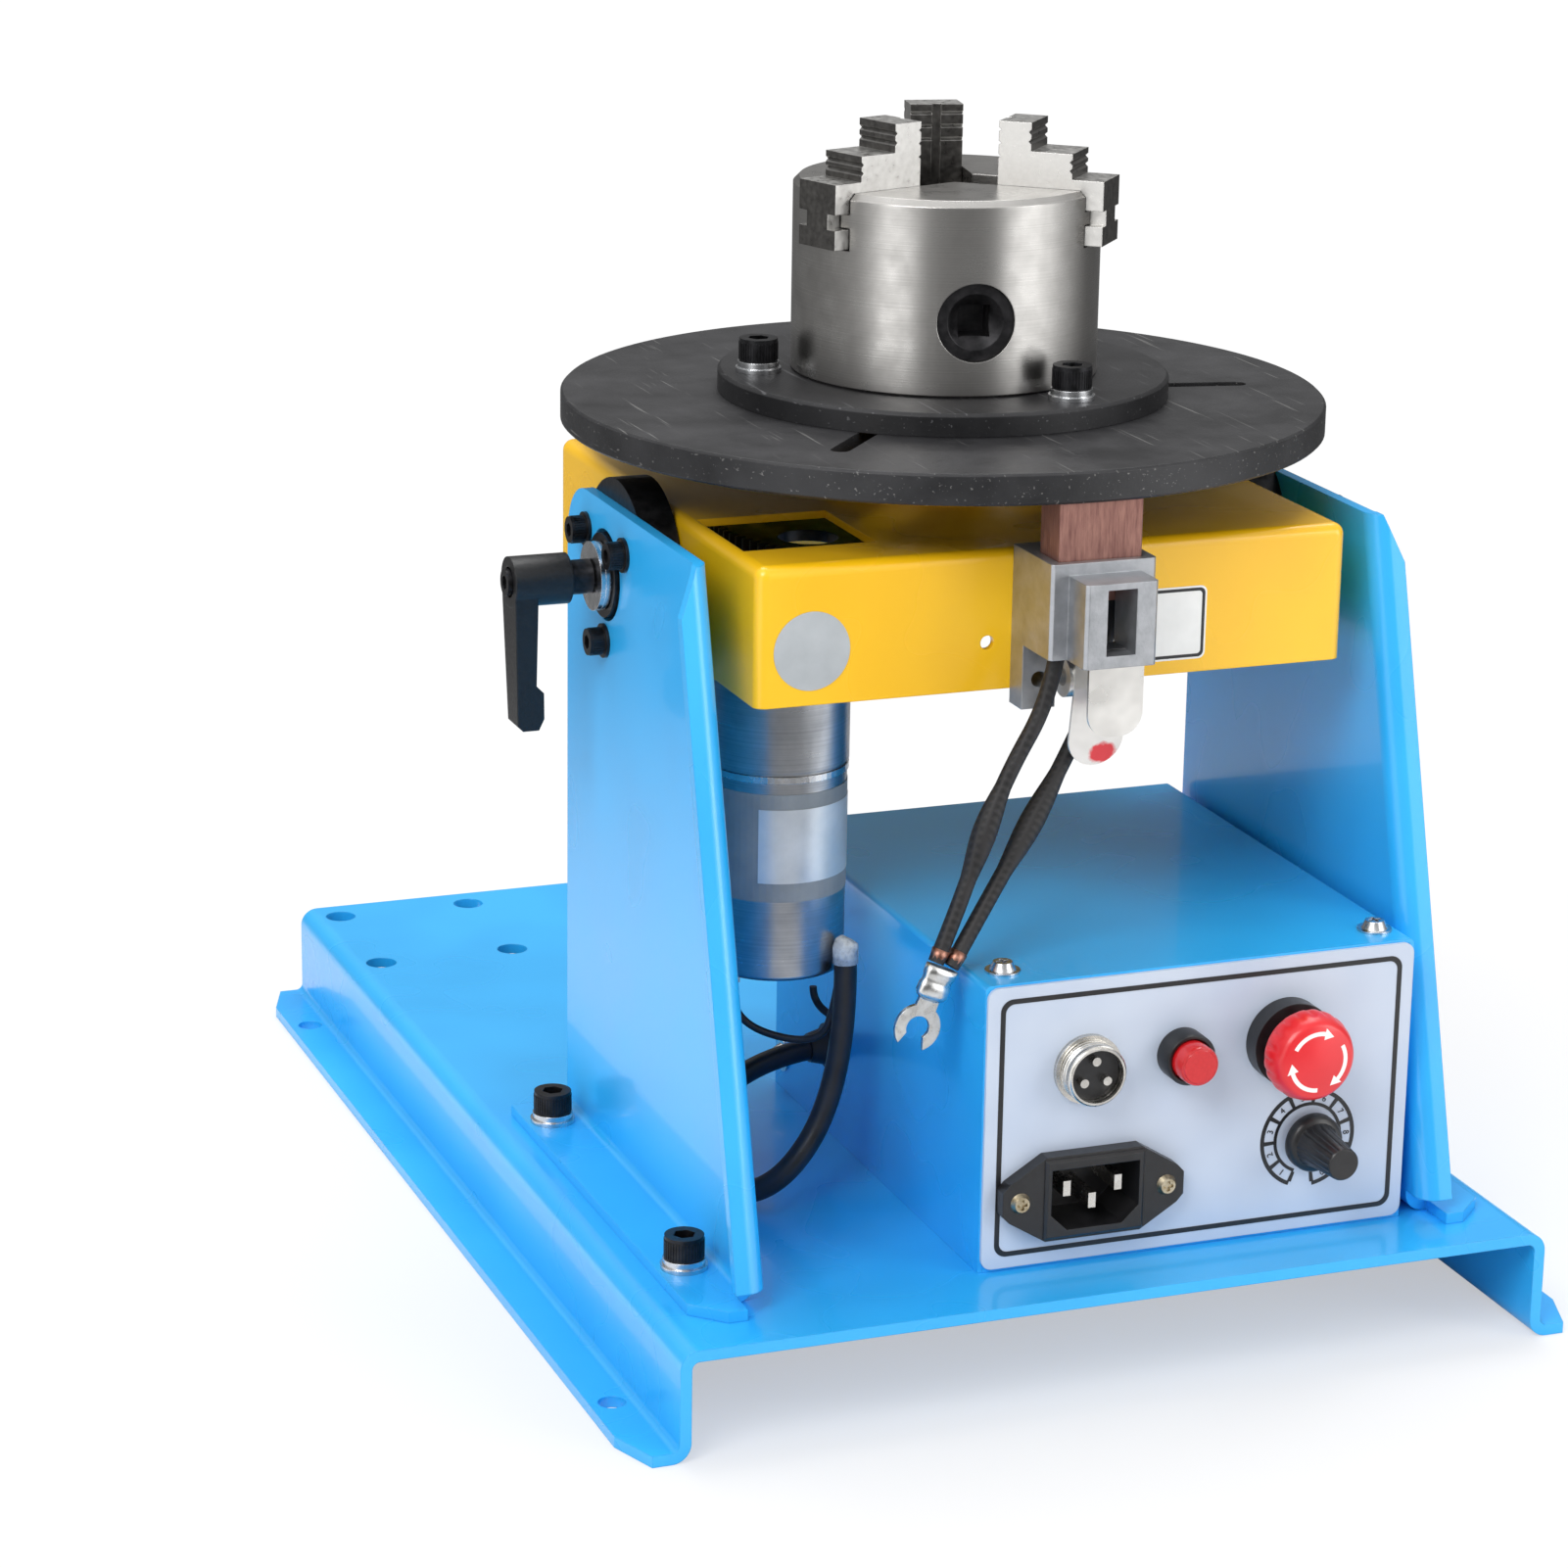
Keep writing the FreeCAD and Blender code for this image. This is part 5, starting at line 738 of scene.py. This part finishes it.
# ---------------------------------------------------------------- stickers on the housing
# Two bare stickers on the yellow front: a round grey one and a white one with a black edge line.
def round_box(x0, z0, x1, z1, r):
    """Corner-rounded rectangle, counter-clockwise, always with the same number of points."""
    corners = ((x1 - r, z1 - r, 0), (x0 + r, z1 - r, 90), (x0 + r, z0 + r, 180), (x1 - r, z0 + r, 270))
    return [p for x, z, start in corners for p in on_circle(x, z, r, start, start + 90, 8)]


sticker_grey = mottled("grey_sticker_film", "#AEB3B6", 0.4, 0.0, 14, 0.34, 0.48, "#A6ABAE", "#B6BBBE")
sticker_white = mottled("white_sticker_film", "#F1F1EE", 0.38, 0.0, 14, 0.3, 0.45, "#E9E9E6", "#F6F6F3")
print_black = mottled("black_print", "#17171A", 0.4, 0.0, 6, 0.35, 0.5, "#131316", "#202023")
sticker_y, sticker_thick, ink = -121.15, 0.12, 0.05
disc_x, disc_z, disc_r = -65.6, 184.3, 10
for name, outline, hole, front_y, thick, cover, slot in (
        ("round_sticker", on_circle(disc_x, disc_z, disc_r, 0, 360 - 7.5, 47), None, sticker_y, sticker_thick,
         sticker_grey, "label_sheet"),
        ("side_sticker", round_box(12, 174, 41, 193, 1.8), None, sticker_y, sticker_thick,
         sticker_white, "label_sheet"),
        ("side_sticker_line", round_box(12.5, 174.5, 40.5, 192.5, 1.5),
         round_box(13.3, 175.3, 39.7, 191.7, 1.0), sticker_y - ink, ink, print_black, "black_plastic")):
    sticker = flat_shape(name, outline, front_y, thick, cover, hole)
    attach(sticker, "tilt")

# ---------------------------------------------------------------- control panel
# The panel is a frosted plastic sheet with a rounded black line printed near its edge. Round the
# speed knob is a printed ring of boxes numbered 1 to 9 and then 0, open at the bottom.
dress_nodes(mottled("frosted_panel_sheet", "#C0CBDC", 0.42, 0.0, 30, 0.36, 0.5, "#BBC7DA", "#C8D2E1", 2.0,
                    bump=(0.01, 0.2, 0.3), Coat_Weight=0.15), "panel_label")
print_y, print_thick = -156.12, 0.1
line_print = flat_shape("panel_edge_line", round_box(-27.7, 33.1, 83.3, 101.3, 3.3), print_y, print_thick,
                        print_black, round_box(-26.4, 34.4, 82.0, 100.0, 2.4))
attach(line_print, "frame")

knob_x, knob_z = 58.7, 54.7
scale_in, scale_out = 9.6, 12.3
line_in, line_out = 0.85, 1.05                     # widths of the two lines round the boxes
boxes = 10
first_deg, last_deg = 247.8, -81.6                 # clockwise, as seen from the front
step_deg = (last_deg - first_deg) / boxes
half_tick = 2.6


def arc_strip(r0, r1, start, stop, steps=60):
    """A printed strip between two radii about the knob."""
    inner = on_circle(knob_x, knob_z, r0, start, stop, steps)
    outer = on_circle(knob_x, knob_z, r1, start, stop, steps)
    rings = frames_of(outer, inner, print_y * MM, (print_y + print_thick) * MM)
    return skinned("printed_arc", rings, smooth=False)


strips = [arc_strip(scale_in - line_in, scale_in, first_deg, last_deg),
          arc_strip(scale_out, scale_out + line_out, first_deg, last_deg)]
for k in range(boxes + 1):
    tick = first_deg + step_deg * k
    strips.append(arc_strip(scale_in, scale_out, tick - half_tick, tick + half_tick, 3))
printed = [(strip, Matrix.Identity(4)) for strip in strips]
number_spots = on_circle(knob_x, knob_z, (scale_in + scale_out) / 2, first_deg + step_deg / 2,
                         last_deg - step_deg / 2, boxes - 1)
for k, (x, z) in enumerate(number_spots):
    number = bpy.data.curves.new("number", "FONT")
    number.body = str((k + 1) % 10)
    number.size = 2.4 * MM
    number.extrude = 0.04 * MM
    number.align_x = "CENTER"
    number.align_y = "CENTER"
    lean = math.radians(first_deg + step_deg * (k + 0.5) - 90)
    turn = Matrix.Rotation(lean, 4, (0, -1, 0)) @ Matrix.Rotation(math.pi / 2, 4, "X")
    printed.append((solid_of(shown("number", number)), at_mm(x, print_y, z, turn)))
scale_print = joined("speed_scale_print", printed, print_black)
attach(scale_print, "frame")

# ---------------------------------------------------------------- panel fittings
# Mains inlet, lamp ring, stop button's collar and speed knob are moulded black plastic; the stop
# button's head and the lamp's lens are red. Contacts are nickel plated and the inlet's screws brass.
moulded = mottled("moulded_black_plastic", "#19191B", 0.34, 0.0, 5, 0.28, 0.42, "#141416", "#222224",
                  bump=(0.02, 0.3, 0.3))
dress_nodes(moulded, "mains_inlet foot_socket_insert stop_collar stop_stem")
dress_nodes(mottled("plated_brass", "#B3A78E", 0.3, 1.0, 2, 0.24, 0.4, "#998C70", "#C9BEA6"), "inlet_screws")
dress_nodes(mottled("nickel_plate", "#D3D0CA", 0.24, 1.0, 3, 0.2, 0.32, "#C6C3BD", "#DEDBD5", 2.0),
            "mains_pins foot_socket_pins")
thread, tree, shader, at = finish_of("threaded_nickel_ring", "#D3D0CA", 0.24, 1.0)
vary(tree, shader, at, 3, 0.2, 0.32, "#C6C3BD", "#DEDBD5", 2.0)
split = add(tree, "ShaderNodeSeparateXYZ", {0: at})
relief(tree, shader, ridges(tree, split.outputs["Y"], 1.3), 0.1, 0.7)
dress_nodes(thread, "foot_socket")
red_cap = mottled("moulded_red_plastic", "#E0232B", 0.3, 0.0, 20, 0.26, 0.36, "#D81F27", "#E52A32",
                  bump=(0.02, 0.2, 0.4), Coat_Weight=0.2)
lens_red, tree, shader, at = finish_of("clear_red_lens", "#C4141C", 0.12, Coat_Weight=0.5,
                                       Transmission_Weight=0.25)
cells = add(tree, "ShaderNodeTexVoronoi", {"Vector": at, "Scale": 1 / (0.9 * MM)}, feature="F1")
grain = cells.outputs["Distance"]
tree.links.new(blend_tones(tree, grain, "#E8242B", "#DB1D24"), shader.inputs["Base Color"])
relief(tree, shader, grain, 0.06, 0.3, 0.3)
arrow_white = mottled("white_pad_print", "#F4F1EF", 0.4, 0.0, 4, 0.36, 0.46, "#EEEBE9", "#F8F5F3")
panel_y = -156.0


def turned_piece(name, x, z, profile, material, flutes=0, depth=0.0, span=(0, 0), sides=120):
    """A turned piece on the panel. The profile's rows are radius and distance out, front to back,
    and flutes of the given depth are cut in its side where the distance out is within the span."""
    rings = []
    for r, out in profile:
        ring = []
        for k in range(sides):
            a = 2 * math.pi * k / sides
            fluted = depth * max(0.0, math.cos(flutes * a)) ** 2 if span[0] < out < span[1] else 0.0
            ring.append(((x + (r - fluted) * math.cos(a)) * MM, (panel_y - out) * MM,
                         (z + (r - fluted) * math.sin(a)) * MM))
        rings.append(ring)
    return shown(name, skinned(name, rings, ends=(False, profile[-1] != profile[0]), crease=0.7), material)


stop_x, stop_z = 51.0, 82.5
lamp_x, lamp_z = 22, 82
crown_out, crown_low, crown_r = 18.8, 18.35, 9.1
stop_head = turned_piece("stop_head", stop_x, stop_z, [
    (0, crown_out), (crown_r, crown_low), (9.9, 17.9), (10.5, 17.0), (11.1, 15.6), (11.5, 14.2),
    (11.6, 12.4), (11.4, 10.9), (10.8, 9.9), (9.5, 9.5), (4.05, 9.5)], red_cap,
    flutes=20, depth=0.45, span=(10.5, 15.0))
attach(stop_head, "stop_cap")
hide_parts("stop_cap")
knob_turning = turned_piece("knob_turning", knob_x, knob_z, [
    (0, 20.2), (3.9, 20.2), (4.25, 19.8), (5.3, 8.0), (5.9, 6.0), (6.9, 5.6), (7.5, 4.9), (7.6, 2.6),
    (7.3, 2.2), (3.1, 2.2)], moulded, flutes=16, depth=0.45, span=(6.5, 18.0), sides=192)
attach(knob_turning, "speed_knob")
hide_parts("speed_knob")
bezel = turned_piece("lamp_bezel_ring", lamp_x, lamp_z, [
    (5.3, 1.2), (5.3, 5.6), (5.7, 6.2), (6.4, 6.2), (6.75, 5.7), (6.75, 0.02), (5.3, 0.02), (5.3, 1.2)],
    moulded)
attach(bezel, "frame")
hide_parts("lamp_bezel")
lens_cap = turned_piece("lamp_lens_cap", lamp_x, lamp_z, [
    (0, 11.2), (4.3, 11.2), (4.5, 10.9), (4.9, 10.9), (5.2, 10.4), (5.2, 1.4)], lens_red)
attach(lens_cap, "frame")
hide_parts("lamp_lens")

# three arrows printed round the stop button's crown, pointing clockwise
ink_out, ink_thick = 0.08, 0.1
shaft_out, shaft_in, head_out, head_in = 8.0, 6.9, 8.9, 5.9
shaft_deg, tip_deg, steps = 72, 92, 14


def on_crown(r, deg):
    """A point just proud of the domed front of the stop button."""
    out = crown_out + (crown_low - crown_out) * r / crown_r + ink_out
    a = math.radians(deg)
    return (stop_x + r * math.cos(a)) * MM, (panel_y - out) * MM, (stop_z + r * math.sin(a)) * MM


arrows = bpy.data.meshes.new("stop_arrows")
shell = bmesh.new()
for start in (150, 30, 270):
    turns = [start - shaft_deg * k / steps for k in range(steps + 1)]
    outer = [shell.verts.new(on_crown(shaft_out, deg)) for deg in turns]
    inner = [shell.verts.new(on_crown(shaft_in, deg)) for deg in turns]
    for k in range(steps):
        shell.faces.new((outer[k], outer[k + 1], inner[k + 1], inner[k]))
    shell.faces.new([shell.verts.new(on_crown(r, start - deg)) for r, deg in (
        (head_out, shaft_deg), ((shaft_out + shaft_in) / 2, tip_deg), (head_in, shaft_deg))])
push = bmesh.ops.extrude_face_region(shell, geom=shell.faces[:])
bmesh.ops.translate(shell, vec=(0, ink_thick * MM, 0),
                    verts=[part for part in push["geom"] if isinstance(part, bmesh.types.BMVert)])
bmesh.ops.recalc_face_normals(shell, faces=shell.faces)
shell.to_mesh(arrows)
shell.free()
stop_arrows = shown("stop_arrows", arrows, arrow_white)
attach(stop_arrows, "stop_cap")

# ---------------------------------------------------------------- motor wires
# Two thin wires run from the motor's tags to the end of the cable, where a white sleeve covers them.
tape = mottled("white_sleeving", "#DEE0E2", 0.4, 0.0, 1.5, 0.22, 0.45, "#A3A8AD", "#D5D9DC",
               bump=(0.2, 0.6))
collar_low = 0.0925                                # height on the cable where the sleeve starts
collar_r, collar_taper, taper_from = 3.35, 0.9, 0.6
past_end = [spine[-1] + Vector((0.4 * MM * k, 0, 0.7 * MM * k)) for k in (1, 2, 3)]
collar = tube_along("cable_end_sleeve", [p for p in spine if p.z > collar_low] + past_end,
                    lambda t: collar_r - collar_taper * max(0.0, t - taper_from) / (1 - taper_from), tape)
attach(collar, "tilt")
for k, side in enumerate((1, -1)):
    name = "motor_wire_%d" % (k + 1)
    wire_line = route_curve(name + "_line", [
        (can_x + 11 * side, can_y, 82), (can_x + 11 * side, can_y, 77 - 3 * k),
        (can_x + 12 + 4 * side, can_y - 13, 75 - 5 * k), (-46.5 + side, -96.6, 88 - 4 * k),
        (-45.4 + 0.9 * side, -97.3, 99.5)], 2.0, rubber)
    wire = shown(name, solid_of(wire_line))
    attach(wire, "tilt")
